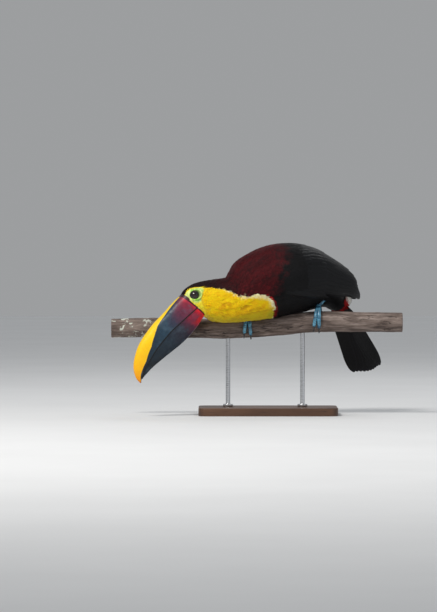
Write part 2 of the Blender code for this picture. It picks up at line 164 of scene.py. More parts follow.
def make_mesh(name, points, faces, material, smooth=True):
    """A mesh from points in millimetres and a list of face arrays, three or four corners wide."""
    mesh = bpy.data.meshes.new(name)
    corners = np.concatenate([f.ravel() for f in faces]).astype(np.int32)
    widths = np.concatenate([np.full(len(f), f.shape[1]) for f in faces])
    mesh.vertices.add(len(points))
    mesh.vertices.foreach_set("co", (np.asarray(points) * MM).astype(np.float32).ravel())
    mesh.loops.add(len(corners))
    mesh.polygons.add(len(widths))
    mesh.polygons.foreach_set("loop_start", (np.cumsum(widths) - widths).astype(np.int32))
    mesh.polygons.foreach_set("vertices", corners)
    mesh.update(calc_edges=True)
    if smooth:
        mesh.shade_smooth()
    mesh.materials.append(material)
    return mesh


def add_values(mesh, name, values):
    """A value, or a colour, for each point of the mesh."""
    values = np.asarray(values, np.float32)
    if values.ndim == 1:
        mesh.attributes.new(name, "FLOAT", "POINT").data.foreach_set("value", values)
        return
    colour = np.ones((len(values), 4), np.float32)
    colour[:, :3] = values[:, :3]
    mesh.attributes.new(name, "FLOAT_COLOR", "POINT").data.foreach_set("color", colour.ravel())


def place_piece(mesh, slot, *nodes):
    """The mesh as a piece on the model's one body, standing for the CAD nodes named."""
    made = bpy.data.objects.new(mesh.name, mesh)
    bpy.context.scene.collection.objects.link(made)
    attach(made, "root")
    if nodes:
        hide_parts(*nodes)
    return made


floor_corners = np.array([(-9, -9, 0), (9, -9, 0), (9, 9, 0), (-9, 9, 0)]) / MM - (0, 0, 0.2)
floor_finish, tree, shader = new_finish("seamless_paper", Roughness=0.75)
floor_grain = grain(tree, own_place(tree), 3.0)
wear(tree, shader, steps(tree, floor_grain, (0.2, paint(221, 222, 223)), (0.8, paint(228, 229, 230))))
floor = bpy.data.objects.new("floor", make_mesh("floor", floor_corners,
                                                [np.array([[0, 1, 2, 3]])], floor_finish))
bpy.context.scene.collection.objects.link(floor)

view = bpy.data.objects.new("view", bpy.data.cameras.new("view"))
view.data.sensor_width = SENSOR
view.data.lens = SENSOR * VIEW_DISTANCE / VIEW_HEIGHT
view.location = VIEW_TARGET + VIEW_DISTANCE * Vector((0, -math.cos(VIEW_TILT), math.sin(VIEW_TILT)))
view.rotation_euler = (math.radians(90) - VIEW_TILT, 0, 0)
bpy.context.scene.collection.objects.link(view)
bpy.context.scene.camera = view

for name, place, size, watts, colour in LAMPS:
    lamp = bpy.data.objects.new(name, bpy.data.lights.new(name, "AREA"))
    lamp.data.shape = "DISK"
    lamp.data.size = size
    lamp.data.energy = watts
    lamp.data.color = colour
    lamp.location = place
    lamp.rotation_euler = (Vector(place) - VIEW_TARGET).to_track_quat("Z", "Y").to_euler()
    bpy.context.scene.collection.objects.link(lamp)

world = bpy.data.worlds.new("studio")
world.use_nodes = True
tree = world.node_tree
seen = add_node(tree, "ShaderNodeLightPath", {}).outputs["Is Camera Ray"]
tree.links.new(blend(tree, seen, (*SKY_LIGHT, 1), (*SKY_SHOWN, 1)), tree.nodes["Background"].inputs[0])
bpy.context.scene.world = world
bpy.context.scene.view_settings.view_transform = "Standard"

# ---------------------------------------------------------------------------------------------
# Branch. A cut length of a smooth-barked bough, sawn square at both ends, with shallow cracks
# along it, a few twig scars and patches of lichen towards the bird's bill.

BRANCH_KNOTS = ((-282, 156, 17.6), (-180, 157, 18.4), (-68, 154.5, 18.0), (10, 160, 18.8),
                (80, 167, 19.6), (160, 167, 18.6), (242, 166, 18.2))  # X, centre height, radius
BRANCH_RINGS, BRANCH_SIDES = 420, 168
SAW_BEVEL = 1.0
BARK_SINK, CRACK_DEPTH = 0.75, 1.1
TWIG_SCARS = ((-222.0, 118.0, 5.0), (-128.0, -60.0, 4.0), (146.0, 62.0, 5.5),
              (214.0, -130.0, 4.5))  # X, degrees round the branch, size
RING_TURNS = 62.0  # radians of year rings from the sawn end's middle to its bark


def spline(knots, values, at):
    """Cubic Hermite through values at knots, each slope the mean of its two neighbours' chords."""
    knots, values, at = (np.asarray(a, float) for a in (knots, values, at))
    chord = np.diff(values, axis=0) / np.diff(knots)[:, None]
    slope = np.concatenate([chord[:1], (chord[1:] + chord[:-1]) / 2, chord[-1:]])
    low = np.clip(np.searchsorted(knots, at, side="right") - 1, 0, len(knots) - 2)
    span = (knots[low + 1] - knots[low])[..., None]
    t = (at - knots[low])[..., None] / span
    return ((2 * t**3 - 3 * t**2 + 1) * values[low] + (t**3 - 2 * t**2 + t) * span * slope[low]
            + (3 * t**2 - 2 * t**3) * values[low + 1] + (t**3 - t**2) * span * slope[low + 1])


def ripple(points, wavelength, seed, octaves=3):
    """Unevenness of about -1 to 1: sine waves in random directions, summed over octaves of half
    the length and half the height."""
    chance = np.random.default_rng(seed)
    total = np.zeros(np.shape(points)[:-1])
    for octave in range(octaves):
        for _ in range(6):
            way = chance.normal(size=3)
            way *= 2**octave * 2 * math.pi / wavelength / np.linalg.norm(way)
            total += np.sin(points @ way + chance.uniform(0, 2 * math.pi)) / 2**octave
    return total / 3.2


def smooth_step(value, low, high):
    """0 below low, 1 above high, and the cubic 3t^2 - 2t^3 between them."""
    t = np.clip((value - low) / (high - low), 0, 1)
    return t * t * (3 - 2 * t)


def tube_faces(rings, sides, start=0):
    """Quads between neighbouring rings of a tube, numbered ring by ring."""
    ring, side = np.meshgrid(np.arange(rings - 1), np.arange(sides), indexing="ij")
    beside = (side + 1) % sides
    corners = [ring * sides + side, ring * sides + beside, (ring + 1) * sides + beside,
               (ring + 1) * sides + side]
    return np.stack(corners, -1).reshape(-1, 4) + start


def closed_tube(points):
    """Rings of points, rings x sides x 3, as a closed surface with a pole in the middle of each
    end. Returns points and faces, turned so that the faces look outwards."""
    rings, sides = points.shape[:2]
    flat = np.concatenate([points.reshape(-1, 3), points[[0, -1]].mean(axis=1)])
    side = np.arange(sides)
    beside = (side + 1) % sides
    first, last = rings * sides, rings * sides + 1
    walls = tube_faces(rings, sides)
    poles = np.concatenate([np.stack([beside, side, np.full(sides, first)], -1),
                            np.stack([side, beside, np.full(sides, last)], -1)
                            + np.array([(rings - 1) * sides, (rings - 1) * sides, 0])])
    one, two, three = (flat[walls[:, k]] for k in range(3))
    inside_out = np.einsum("ij,ij->i", one, np.cross(two, three)).sum() < 0
    return flat, [f[:, ::-1] if inside_out else f for f in (walls, poles)]


def branch_line(x):
    """Centre height and radius of the branch at X."""
    knots = np.array(BRANCH_KNOTS, float)
    line = spline(knots[:, 0], knots[:, 1:], x)
    return line[..., 0], line[..., 1]


def clear_of_branch(points, gap):
    """Points nearer the branch's centre line than its radius plus a gap, moved straight out."""
    centre, radius = branch_line(np.clip(points[..., 0], BRANCH_KNOTS[0][0], BRANCH_KNOTS[-1][0]))
    away = points[..., 1:] - np.stack([0 * centre, centre], -1)
    distance = np.linalg.norm(away, axis=-1)
    wanted = np.maximum(distance, radius + gap)
    moved = points.copy()
    moved[..., 1:] += away * (wanted / np.maximum(distance, 1e-6) - 1)[..., None]
    return moved


branch_low, branch_high = (corner.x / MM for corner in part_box("perch"))
along = np.linspace(branch_low + SAW_BEVEL, branch_high - SAW_BEVEL, BRANCH_RINGS)
turn = np.linspace(0, 2 * math.pi, BRANCH_SIDES, endpoint=False)
x, angle = np.meshgrid(along, turn, indexing="ij")
centre, radius = branch_line(x)
around = np.stack([x, 18 * np.sin(angle), 18 * np.cos(angle)], -1)
cracks = np.abs(ripple(around * (0.10, 1, 1), 13.0, 3, 4))
cracked = smooth_step(ripple(around * (0.3, 1, 1), 50.0, 6), -0.3, 0.6)
dents = 0.35 * ripple(around, 60.0, 4) + 0.12 * ripple(around * (0.5, 1, 1), 7.0, 5)
sunk = BARK_SINK + dents + CRACK_DEPTH * np.exp(-((cracks / 0.07) ** 2)) * cracked
for scar_x, scar_turn, size in TWIG_SCARS:
    off = (angle - math.radians(scar_turn) + math.pi) % (2 * math.pi) - math.pi
    reach = np.hypot((x - scar_x) * 0.7, off * radius) / size
    sunk += 1.6 * np.exp(-((reach / 0.45) ** 2)) - 2.3 * np.exp(-(((reach - 0.8) / 0.35) ** 2))
radius = radius - sunk
wall = np.stack([x, radius * np.sin(angle), centre + radius * np.cos(angle)], -1)
ends = []
for end, inset in ((0, SAW_BEVEL), (-1, -SAW_BEVEL)):
    middle = np.array([along[end], 0, centre[end, 0]])
    shares = np.array([0.95, 0.90, 0.75, 0.55, 0.35, 0.15])[:, None, None]
    sawn = middle + (wall[end] - middle) * shares - (inset, 0, 0)
    ends.append(sawn)
branch_points, branch_faces = closed_tube(np.concatenate([ends[0][::-1], wall, ends[1]]))

branch_finish, tree, shader = new_finish("bark", Roughness=0.8)
place = own_place(tree, (0.16, 1, 1))
streaks = grain(tree, place, 150.0, 6.0, 0.62, 0.4)
bark_colour = steps(tree, streaks, (0.28, paint(62, 51, 47)), (0.44, paint(94, 80, 73)),
                    (0.57, paint(124, 109, 101)), (0.68, paint(152, 137, 129)),
                    (0.80, paint(184, 170, 163)))
blotches = grain(tree, own_place(tree, (0.4, 1, 1)), 26.0, 3.0)
bark_colour = blend(tree, spread(tree, blotches, 0.50, 0.70), bark_colour, paint(128, 108, 98),
                    "MULTIPLY")
crack_value = value_of(tree, "crack")
bark_colour = blend(tree, crack_value, bark_colour, paint(30, 23, 20))
lichen_noise = grain(tree, own_place(tree), 75.0, 4.0, 0.6, 0.6)
bill_end = spread(tree, add_node(tree, "ShaderNodeSeparateXYZ", {"Vector": own_place(tree)}).outputs[0],
                  -0.10, -0.26)
lichen = sums(tree, "MULTIPLY", spread(tree, lichen_noise, 0.56, 0.62), bill_end)
bark_colour = blend(tree, lichen, bark_colour, paint(196, 200, 188))
sawn_value = value_of(tree, "sawn")
ring_value = value_of(tree, "ring")
rings_wave = sums(tree, "SINE", sums(tree, "MULTIPLY", ring_value, RING_TURNS), 0.0)
wood = blend(tree, spread(tree, rings_wave, -1.0, 1.0), paint(206, 176, 132), paint(170, 132, 88))
bark_colour = blend(tree, sawn_value, bark_colour, wood)
wear(tree, shader, bark_colour)
relief(tree, shader, grain(tree, place, 320.0, 5.0), 0.5, 0.6)

branch = make_mesh("branch", branch_points, branch_faces, branch_finish)
end_rings = len(ends[0])
is_sawn = np.zeros((BRANCH_RINGS + 2 * end_rings, BRANCH_SIDES))
is_sawn[:end_rings - 1] = 1
is_sawn[1 - end_rings:] = 1
add_values(branch, "sawn", np.append(is_sawn.ravel(), (1, 1)))
crack_all = np.zeros_like(is_sawn)
crack_all[end_rings:-end_rings] = np.exp(-((cracks / 0.06) ** 2)) * cracked
add_values(branch, "crack", np.append(crack_all.ravel(), (0, 0)))
middle_z = branch_line(np.clip(branch_points[:, 0], branch_low, branch_high))[0]
add_values(branch, "ring", np.hypot(branch_points[:, 1], branch_points[:, 2] - middle_z) / 17)
place_piece(branch, "bark", "perch")

# ---------------------------------------------------------------------------------------------
# Stand. An oiled walnut plate with eased edges, and two steel rods with turned collars that
# stand in it and are let into the branch's underside.

BASE_CORNER, BASE_EDGE = 14.0, 1.5
ROD_RADIUS, COLLAR_RADIUS, COLLAR_HEIGHT = 4.0, 9.0, 5.0
COLLAR_EASE, COLLAR_FOOT = 1.2, 0.4  # rounding of a collar's upper and lower edges
ROD_ENTRY = 1.2  # how deep a rod goes into the bark
CAP_RADIUS = 2.0  # innermost ring of a rod's flat ends


def rounded_rectangle(half_width, half_depth, corner, per_corner=14, per_side=6):
    """Points round a rectangle: at each corner a quarter circle, then points along the side."""
    arc = np.radians(np.linspace(0, 90, per_corner))
    corners = [(1, 1, 0), (-1, 1, 90), (-1, -1, 180), (1, -1, 270)]
    curves = [np.stack([sx * (half_width - corner) + corner * np.cos(arc + math.radians(start)),
                        sy * (half_depth - corner) + corner * np.sin(arc + math.radians(start))], -1)
              for sx, sy, start in corners]
    shares = np.linspace(0, 1, per_side + 2)[1:-1, None]
    return np.concatenate([np.concatenate([one, one[-1] + (two[0] - one[-1]) * shares])
                           for one, two in zip(curves, curves[1:] + curves[:1])])


base_low, base_high = (np.array(corner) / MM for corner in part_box("stand_base"))
half_width, half_depth = (base_high - base_low)[:2] / 2
edge_turn = np.radians(np.linspace(0, 90, 7))
insets = np.concatenate([[half_depth * 0.9, half_depth * 0.5, 6.0, 0.6, 0.15, 0.0, 0.0],
                         BASE_EDGE * (1 - np.cos(edge_turn)), [3.0, half_depth * 0.5, half_depth * 0.9]])
levels = np.concatenate([[0, 0, 0, 0, 0.15, 0.6, 6.0],
                         base_high[2] - BASE_EDGE * (1 - np.sin(edge_turn)), [base_high[2]] * 3])
rings = []
for inset, level in zip(insets, levels):
    corner = max(BASE_CORNER - inset, 0.5)
    outline = rounded_rectangle(half_width - inset, half_depth - inset, corner)
    rings.append(np.column_stack([outline, np.full(len(outline), level)]))
base_finish, tree, shader = new_finish("oiled_walnut", Roughness=0.42)
figure = grain(tree, own_place(tree, (0.35, 1, 1)), 14.0, 2.0, 0.5, 1.2)
bands = add_node(tree, "ShaderNodeTexWave", {"Vector": own_place(tree, (0.10, 1, 1)), "Scale": 34.0,
                                             "Distortion": 5.0, "Detail": 3.0, "Detail Scale": 1.5},
                 bands_direction="Y").outputs["Fac"]
walnut = steps(tree, bands, (0.1, paint(80, 52, 34)), (0.5, paint(92, 61, 41)), (0.9, paint(104, 72, 50)))
walnut = blend(tree, spread(tree, figure, 0.35, 0.65, 0.0, 0.6), walnut, paint(64, 40, 26))
pores = grain(tree, own_place(tree, (0.04, 1, 1)), 900.0, 2.0)
walnut = blend(tree, spread(tree, pores, 0.58, 0.72), walnut, paint(44, 27, 18))
wear(tree, shader, walnut)
relief(tree, shader, spread(tree, pores, 0.72, 0.55), 0.15, 0.5)
place_piece(make_mesh("base", *closed_tube(np.array(rings)), base_finish), "base", "stand_base")

rod_finish, tree, shader = new_finish("brushed_steel", Metallic=1.0, Roughness=0.3)
brushing = grain(tree, own_place(tree, (1, 1, 60)), 60.0, 3.0)
wear(tree, shader, steps(tree, brushing, (0.3, paint(188, 190, 193)), (0.7, paint(199, 200, 202))))
tree.links.new(spread(tree, brushing, 0.3, 0.7, 0.24, 0.38), shader.inputs["Roughness"])
for rod_place in ("front", "back"):
    low, high = (np.array(corner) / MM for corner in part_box(f"stand_rod_{rod_place}"))
    rod_x = (low[0] + high[0]) / 2
    centre_z, branch_radius = branch_line(np.array(rod_x))
    rod_top = centre_z - math.sqrt(branch_radius**2 - ROD_RADIUS**2) + ROD_ENTRY
    collar_top = low[2] + COLLAR_HEIGHT
    ease = np.radians(np.linspace(0, 90, 6))
    profile = np.concatenate([
        [(low[2], CAP_RADIUS), (low[2], COLLAR_RADIUS - COLLAR_FOOT),
         (low[2] + COLLAR_FOOT, COLLAR_RADIUS)],
        np.column_stack([collar_top - COLLAR_EASE + COLLAR_EASE * np.sin(ease),
                         COLLAR_RADIUS - COLLAR_EASE + COLLAR_EASE * np.cos(ease)]),
        [(collar_top, ROD_RADIUS + 1.6), (collar_top + 0.5, ROD_RADIUS + 0.5),
         (collar_top + 1.6, ROD_RADIUS), (rod_top, ROD_RADIUS), (rod_top, CAP_RADIUS)]])
    turn = np.linspace(0, 2 * math.pi, 56, endpoint=False)
    rings = np.stack([rod_x + profile[:, 1:] * np.cos(turn), profile[:, 1:] * np.sin(turn),
                      profile[:, :1] + 0 * turn], -1)
    rod = make_mesh(f"rod_{rod_place}", *closed_tube(rings), rod_finish, smooth=False)
    rod.shade_smooth()
    rod.set_sharp_from_angle(angle=math.radians(50))
    place_piece(rod, "steel", f"stand_rod_{rod_place}")

# ---------------------------------------------------------------------------------------------
# Skin. One hide over head, neck, trunk and thighs, lying inside the outline by the depth of the
# plumage. It is bare round the eyes, with a swollen rim that holds each eyeball and fine folds,
# and it carries the same markings as the feathers that cover the rest of it.

# Body cross-sections: dorsal X and Z and ventral X and Z seen from the bird's left, depth of the
# centre, heading in degrees, half-width and top-heaviness.
BODY = np.array((
    (-157.5, 215.0, -115.0, 181.0, -66.0, 17.0, 19.5, 0.00),  # bill base
    (-150.0, 226.0, -109.0, 174.0, -64.0, 17.0, 22.5, 0.00),  # forehead
    (-134.0, 236.5, -101.0, 169.5, -61.0, 18.0, 25.5, 0.02),  # crown
    (-113.0, 242.0, -91.0, 168.0, -56.5, 19.0, 28.5, 0.00),  # hind crown
    (-91.0, 245.0, -78.0, 167.5, -51.5, 20.0, 31.0, -0.05),  # nape
    (-74.0, 248.5, -65.0, 167.5, -46.5, 22.0, 33.5, -0.05),  # neck
    (-66.0, 261.0, -54.0, 168.0, -42.5, 23.0, 37.0, -0.02),  # foot of the mantle
    (-55.0, 277.0, -41.0, 169.0, -37.5, 24.0, 42.0, 0.00),  # front of the mantle
    (-30.0, 292.0, -16.0, 171.5, -27.0, 25.0, 47.5, 0.03),  # shoulder
    (0.0, 301.5, 11.0, 175.0, -13.5, 25.0, 51.5, 0.05),  # breast
    (27.0, 303.0, 36.0, 178.5, -1.5, 25.0, 52.5, 0.05),  # back
    (53.0, 301.5, 60.0, 183.0, 10.0, 25.0, 51.5, 0.04),  # middle of the back
    (83.0, 293.5, 84.0, 190.0, 23.0, 25.0, 48.0, 0.03),  # lower back
    (113.0, 276.0, 103.0, 193.0, 34.0, 25.0, 41.0, 0.02),  # rump
    (134.0, 254.0, 114.0, 188.0, 42.0, 26.0, 32.0, 0.00),  # croup
    (146.0, 232.0, 121.0, 186.0, 47.5, 28.0, 22.0, 0.00),  # root of the tail
    (149.0, 213.0, 131.0, 186.0, 50.5, 30.0, 14.0, 0.00),  # behind the tail's root
))
BODY_END = len(BODY) - 1.0
HEAD_YAW = math.radians(17.0)
HEAD_LEFT = np.array((math.sin(HEAD_YAW), -math.cos(HEAD_YAW), 0.0))

# Limits of the markings, as station and angle from the back, in degrees
BIB_EDGE = np.array(((0.0, 30), (0.7, 25), (1.4, 24), (1.95, 33), (2.6, 42), (3.1, 48), (3.9, 57),
                     (4.5, 66), (5.2, 79), (5.8, 88), (6.5, 93), (7.2, 98), (7.7, 103.5), (8.15, 113),
                     (8.4, 124), (8.52, 136), (8.6, 160), (8.64, 181)))
FACE_EDGE = np.array(((20, 1.85), (33, 2.25), (46, 2.5), (60, 2.1), (75, 1.65), (89, 1.5), (110, 1.25),
                      (130, 1.05), (150, 0.85), (180, 0.7)))
MAROON_END = np.array(((0, 9.7), (45, 9.35), (58, 9.15), (74, 8.8), (86, 8.6), (98, 8.45), (108, 8.3),
                       (180, 8.2)))
RED_BAND = 0.19  # of a station, behind the bib
RUMP_START = 14.3

LIME, PALE_LIME, GROOVE_SHADE = tint(156, 224, 76), tint(220, 236, 134), tint(30, 98, 30)
FACE_YELLOW, RIM_BLUE = tint(248, 226, 40), tint(176, 208, 214)
YELLOW, DEEP_YELLOW, SHADE_OCHRE = tint(255, 218, 6), tint(248, 184, 0), tint(196, 124, 6)
CREAM, SHADE_OLIVE = tint(252, 246, 206), tint(176, 170, 40)
SCARLET, MAROON, DARK_MAROON = tint(206, 22, 24), tint(80, 14, 20), tint(28, 7, 10)
BLACK, WHITE = tint(12, 12, 14), tint(240, 238, 230)


def loft(rows, angle, height):
    """Points on cross-sections: an oval of the row's two half-axes grown by the height, whose
    widest place lies higher the more top-heavy it is. Angle 0 is the back, and it grows to the
    bird's left."""
    xd, zd, xv, zv, y, yaw, half_width, lean = (rows[..., k] for k in range(8))
    yaw = np.radians(yaw)
    half_x, half_z = (xd - xv) / 2, (zd - zv) / 2
    half_y = half_x * np.tan(yaw)
    length = np.sqrt(half_x**2 + half_y**2 + half_z**2)
    upright = np.cos(angle) * (1 + height / length)
    across = np.sin(angle) * (1 + lean * np.cos(angle)) * (half_width + height)
    return np.stack([(xd + xv) / 2 + half_x * upright + np.sin(yaw) * across,
                     y + half_y * upright - np.cos(yaw) * across,
                     (zd + zv) / 2 + half_z * upright], -1)


def body_surface(station, angle, height=0.0):
    """The body's outline at a station and an angle in radians, raised by a height."""
    rows = spline(np.arange(len(BODY)), BODY, np.clip(station, -0.4, BODY_END + 0.3))
    return loft(rows, angle, height)


def folded(angle):
    """The angle from the back in degrees, 0 to 180, the same on both sides."""
    return np.degrees(np.abs((angle + math.pi) % (2 * math.pi) - math.pi))


def under_bib_edge(station, angle):
    """How many degrees below the bib's upper edge a place lies."""
    return folded(angle) - np.interp(station, *BIB_EDGE.T)


def vent(angle):
    """How far a place is red rather than white near the tail's root, 0 to 1. The trunk's end leans
    to the left, so the red starts higher on that side."""
    return smooth_step(folded(angle), 84 + 26 * (angle < 0), 98 + 26 * (angle < 0))


def markings(station, angle, uneven):
    """How far a place belongs to each marking, 0 to 1: bib, bare face, red band, maroon, rump.
    The uneven value, -1 to 1, makes the limits ragged."""
    turn = folded(angle)
    edge = np.interp(station, *BIB_EDGE.T) + 2.2 * uneven
    bib = smooth_step(turn - edge, -1.5, 1.5)
    face = bib * smooth_step(np.interp(turn, *FACE_EDGE.T) + 0.05 * uneven - station, -0.06, 0.10)
    behind = np.interp(station - RED_BAND - 0.05 * uneven, *BIB_EDGE.T)
    band = (1 - bib) * smooth_step(turn - behind, -3, 3) * smooth_step(turn, 100, 112)
    maroon = smooth_step(np.interp(turn, *MAROON_END.T) + 0.3 * uneven - station, -0.5, 0.7)
    under = 1.1 * vent(angle)
    rump = smooth_step(station + 0.12 * uneven - under, RUMP_START - 0.1, RUMP_START + 0.1)
    return bib, face, band, maroon, rump


def mingle(one, two, share):
    """Colours between one and two, by a share for each place."""
    return one + (two - one) * np.asarray(share)[..., None]


def plumage_colour(station, angle, uneven, shade):
    """The colour of the coat: black, then maroon, the red band, the yellow bib with its cream
    border, and the white over and red under the tail's root. Shade, -1 to 1, varies each feather
    and carries painted shade over the bib's locks. Painted shade also darkens the band and the bib
    on the underside, darkens the red under the tail, and streaks the bib with ochre between locks."""
    turn = folded(angle)
    bib, _, band, maroon, rump = markings(station, angle, uneven)
    colour = np.broadcast_to(BLACK, (*np.shape(station), 3)) * (1 + 0.25 * shade[..., None])
    reddish = mingle(MAROON, DARK_MAROON, 1 - smooth_step(station, 2.4, 6.4))
    reddish = mingle(reddish, DARK_MAROON, 0.35 + 0.35 * shade)
    colour = mingle(colour, reddish, maroon)
    # The red band is painted darker on the underside: painted shade.
    colour = mingle(colour, SCARLET * (1 - 0.75 * smooth_step(turn, 108, 124))[..., None], band)
    gold = mingle(YELLOW, DEEP_YELLOW, np.clip(0.25 + 0.4 * shade + 0.3 * uneven, 0, 1))
    # Ochre streaks along the locks on the bib below its middle: painted shade between the locks.
    strands = ripple(np.stack([3.2 * station, 0.9 * turn, 0 * turn], -1), 12.0, 44, 2)
    lock_shade = smooth_step(strands + 0.3 * shade, 0.25, 0.9) * smooth_step(turn, 84, 100)
    lock_shade *= smooth_step(station, 2.4, 3.6)
    gold = mingle(gold, SHADE_OCHRE, 0.6 * lock_shade)
    # Olive on the bib's underside is painted shade; it is also mixed in towards the bib's rear end.
    gold = mingle(gold, SHADE_OLIVE, 0.55 * smooth_step(turn, 118, 150) + 0.35 * smooth_step(station, 8.0, 8.5))
    border_width = np.interp(station, (3.4, 5.6), (2.5, 9.0))
    border = ((1 - smooth_step(under_bib_edge(station, angle) / border_width, 0, 1))
              * smooth_step(station, 3.0, 4.4))
    rear = 0.8 * smooth_step(station, 8.0, 8.4) * (1 - smooth_step(turn, 118, 134))
    gold = mingle(gold, CREAM, np.clip(0.85 * border + rear, 0, 0.9))
    colour = mingle(colour, gold, bib)
    # The red under the tail's root is painted at six tenths of the scarlet: painted shade.
    tail_coverts = mingle(WHITE, 0.6 * SCARLET, vent(angle))
    return mingle(colour, tail_coverts, rump)


def eye_frame(side):
    """Centre of an eyeball in millimetres and its outward direction. Side is 1 for the left."""
    low, high = (np.array(corner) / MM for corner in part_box("eye_left" if side > 0 else "eye_right"))
    back = np.array((-HEAD_LEFT[1], HEAD_LEFT[0], 0.0))
    level = math.cos(EYE_RISE)
    outward = (side * level * math.cos(EYE_BACK) * HEAD_LEFT + level * math.sin(EYE_BACK) * back
               + np.array((0, 0, math.sin(EYE_RISE))))
    return (low + high) / 2, outward, (high[0] - low[0]) / 2


def uneven_steps(low, high, coarse, fine, centres, reach):
    """Places from low to high: fine steps within reach of the centres and coarse ones elsewhere."""
    places = [low]
    while places[-1] < high:
        near = min(abs(places[-1] - centre) for centre in centres) < reach
        places.append(places[-1] + (fine if near else coarse))
    return np.array(places[:-1])


EYE_STATION, EYE_TURN = 1.25, math.radians(57.0)
EYE_RISE, EYE_BACK = math.radians(20.0), math.radians(13.0)
LID_OPENING, LID_RADIUS, LID_GROOVE = 8.2, 9.5, 12.0
LID_WAVES = ((1.35, LID_RADIUS, 1.25), (-0.75, LID_GROOVE, 0.75), (0.45, LID_GROOVE + 1.6, 0.9),
             (-0.35, LID_GROOVE + 3.2, 0.7))  # height, distance from the eye's axis, breadth
FOLD_DEPTH = 0.22
THIGH_PATHS = {"left": ((108, 14, 232), (99, -1, 207)), "right": ((26, 30, 214), (-20, 9, 195))}
THIGH_RADII = (19.0, 17.0, 12.0, 6.0)
THIGH_COAT = 1.5
HEAD_COAT, TRUNK_COAT = 0.7, 4.8  # the plumage's depth on the head, and what the trunk has more
SKIN_GAP = 0.4  # between the skin and the branch


def coat_depth(station, angle):
    """How far the skin lies inside the outline: nothing on the bare face, most on the trunk."""
    face = markings(station, angle, 0)[1]
    return (HEAD_COAT + TRUNK_COAT * smooth_step(station, 2.0, 8.0)) * (1 - face)


def limb_surface(side, along, angle, height=0.0):
    """The thigh: circles carried down its line, narrowing to the ankle."""
    knee, ankle = (np.array(place, float) for place in THIGH_PATHS[side])
    length = np.linalg.norm(ankle - knee)
    down = (ankle - knee) / length
    across = np.cross(down, (0, 0, 1.0))
    across /= np.linalg.norm(across)
    out = np.cross(across, down)
    radius = np.interp(along, (0, 0.35, 0.7, 1.0), THIGH_RADII) + height
    return (knee + down * (along * length)[..., None]
            + (across * np.cos(angle)[..., None] + out * np.sin(angle)[..., None]) * radius[..., None])


def swell_lids(points):
    """Skin round the eyes: tucked under the ball inside the opening, then a raised rim, a groove
    and a second, lower fold. Heights are bell curves of the distance from the eye's axis."""
    shaped = points.copy()
    nearest = np.full(points.shape[:-1], 99.0)
    for side in (1, -1):
        centre, outward, ball = eye_frame(side)
        offset = points - centre
        lift = offset @ outward
        distance = np.linalg.norm(offset - lift[..., None] * outward, axis=-1)
        front = lift > 0
        rise = sum(height * np.exp(-(((distance - place) / breadth) ** 2))
                   for height, place, breadth in LID_WAVES)
        shaped += np.where(front, rise, 0)[..., None] * outward
        tucked = centre + offset * ((ball - 1.2) / np.linalg.norm(offset, axis=-1))[..., None]
        under = (1 - smooth_step(distance, LID_OPENING - 0.5, LID_OPENING + 0.3)) * front
        shaped += (tucked - shaped) * under[..., None]
        nearest = np.where(front, np.minimum(nearest, distance), nearest)
    return shaped, nearest


stations = np.concatenate([
    uneven_steps(0.0, 3.2, 0.07, 0.035, (EYE_STATION,), 1.15),
    np.linspace(3.2, BODY_END, 150)])
angles = uneven_steps(-math.pi, math.pi, 0.05, 0.019, (EYE_TURN, -EYE_TURN), 0.52)
station, angle = np.meshgrid(stations, angles, indexing="ij")
hide, eye_distance = swell_lids(body_surface(station, angle, -coat_depth(station, angle)))
face = markings(station, angle, 0)[1]
lie = body_surface(station, angle)
folds = ripple(lie * (1, 1, 0.6), 4.2, 11, 2) * smooth_step(eye_distance, 9.5, 13)
middle = hide.mean(axis=1, keepdims=True)
outwards = (hide - middle) / np.linalg.norm(hide - middle, axis=-1)[..., None]
hide += (FOLD_DEPTH * face * folds)[..., None] * outwards
tuck = np.linspace(5, 1, 4)[:, None, None]
lip = hide[0] + (middle[0] - hide[0]) * 0.045 * tuck + np.array((6, 0, 4.5)) * 0.18 * tuck
hide = clear_of_branch(np.concatenate([lip, hide]), SKIN_GAP)
uneven = ripple(lie, 16.0, 21)
# Under the feathers the skin carries their markings a tenth darker: painted shade for what shows between
# them.
skin_colour = 0.9 * plumage_colour(station, angle, uneven, 0 * uneven)
turn = folded(angle)
near_eye = mingle(PALE_LIME, LIME, (0.55 + 0.45 * ripple(lie, 9.0, 23))
                  * (1 - smooth_step(eye_distance, 9.0, 17.0)))
# Dark green in the groove round each eye, mostly below and behind it: painted shade in the groove.
low_rear = smooth_step(turn, 52, 70) * smooth_step(station, 0.9, 1.4)
near_eye = mingle(near_eye, GROOVE_SHADE, (0.15 + 0.75 * low_rear)
                  * np.exp(-(((eye_distance - LID_GROOVE) / 0.9) ** 2)))
to_yellow = np.maximum(smooth_step(eye_distance, 13.0, 17.5) * np.maximum(smooth_step(turn, 58, 78),
                                                                         smooth_step(station, 1.7, 2.2)),
                       1 - smooth_step(under_bib_edge(station, angle), 2, 7))
near_eye = mingle(near_eye, FACE_YELLOW, to_yellow)
# Dark green inside the lids' opening, where the skin tucks under the ball: painted shade.
opening = 1 - smooth_step(eye_distance, LID_OPENING - 0.2, LID_OPENING + 0.5)
near_eye = mingle(near_eye, GROOVE_SHADE, 0.9 * opening)
near_eye = mingle(near_eye, RIM_BLUE, 1 - smooth_step(station, 0.02, 0.16))
# Lighter on the folds' ridges and darker in their creases: painted light and shade; the finer ripple is
# uneven tone.
near_eye = near_eye * (1 + 0.10 * folds + 0.06 * ripple(lie, 7.0, 22))[..., None]
skin_colour = mingle(skin_colour, near_eye, face)
skin_colour = np.concatenate([np.repeat(skin_colour[:1] * 0.35, 4, axis=0), skin_colour])

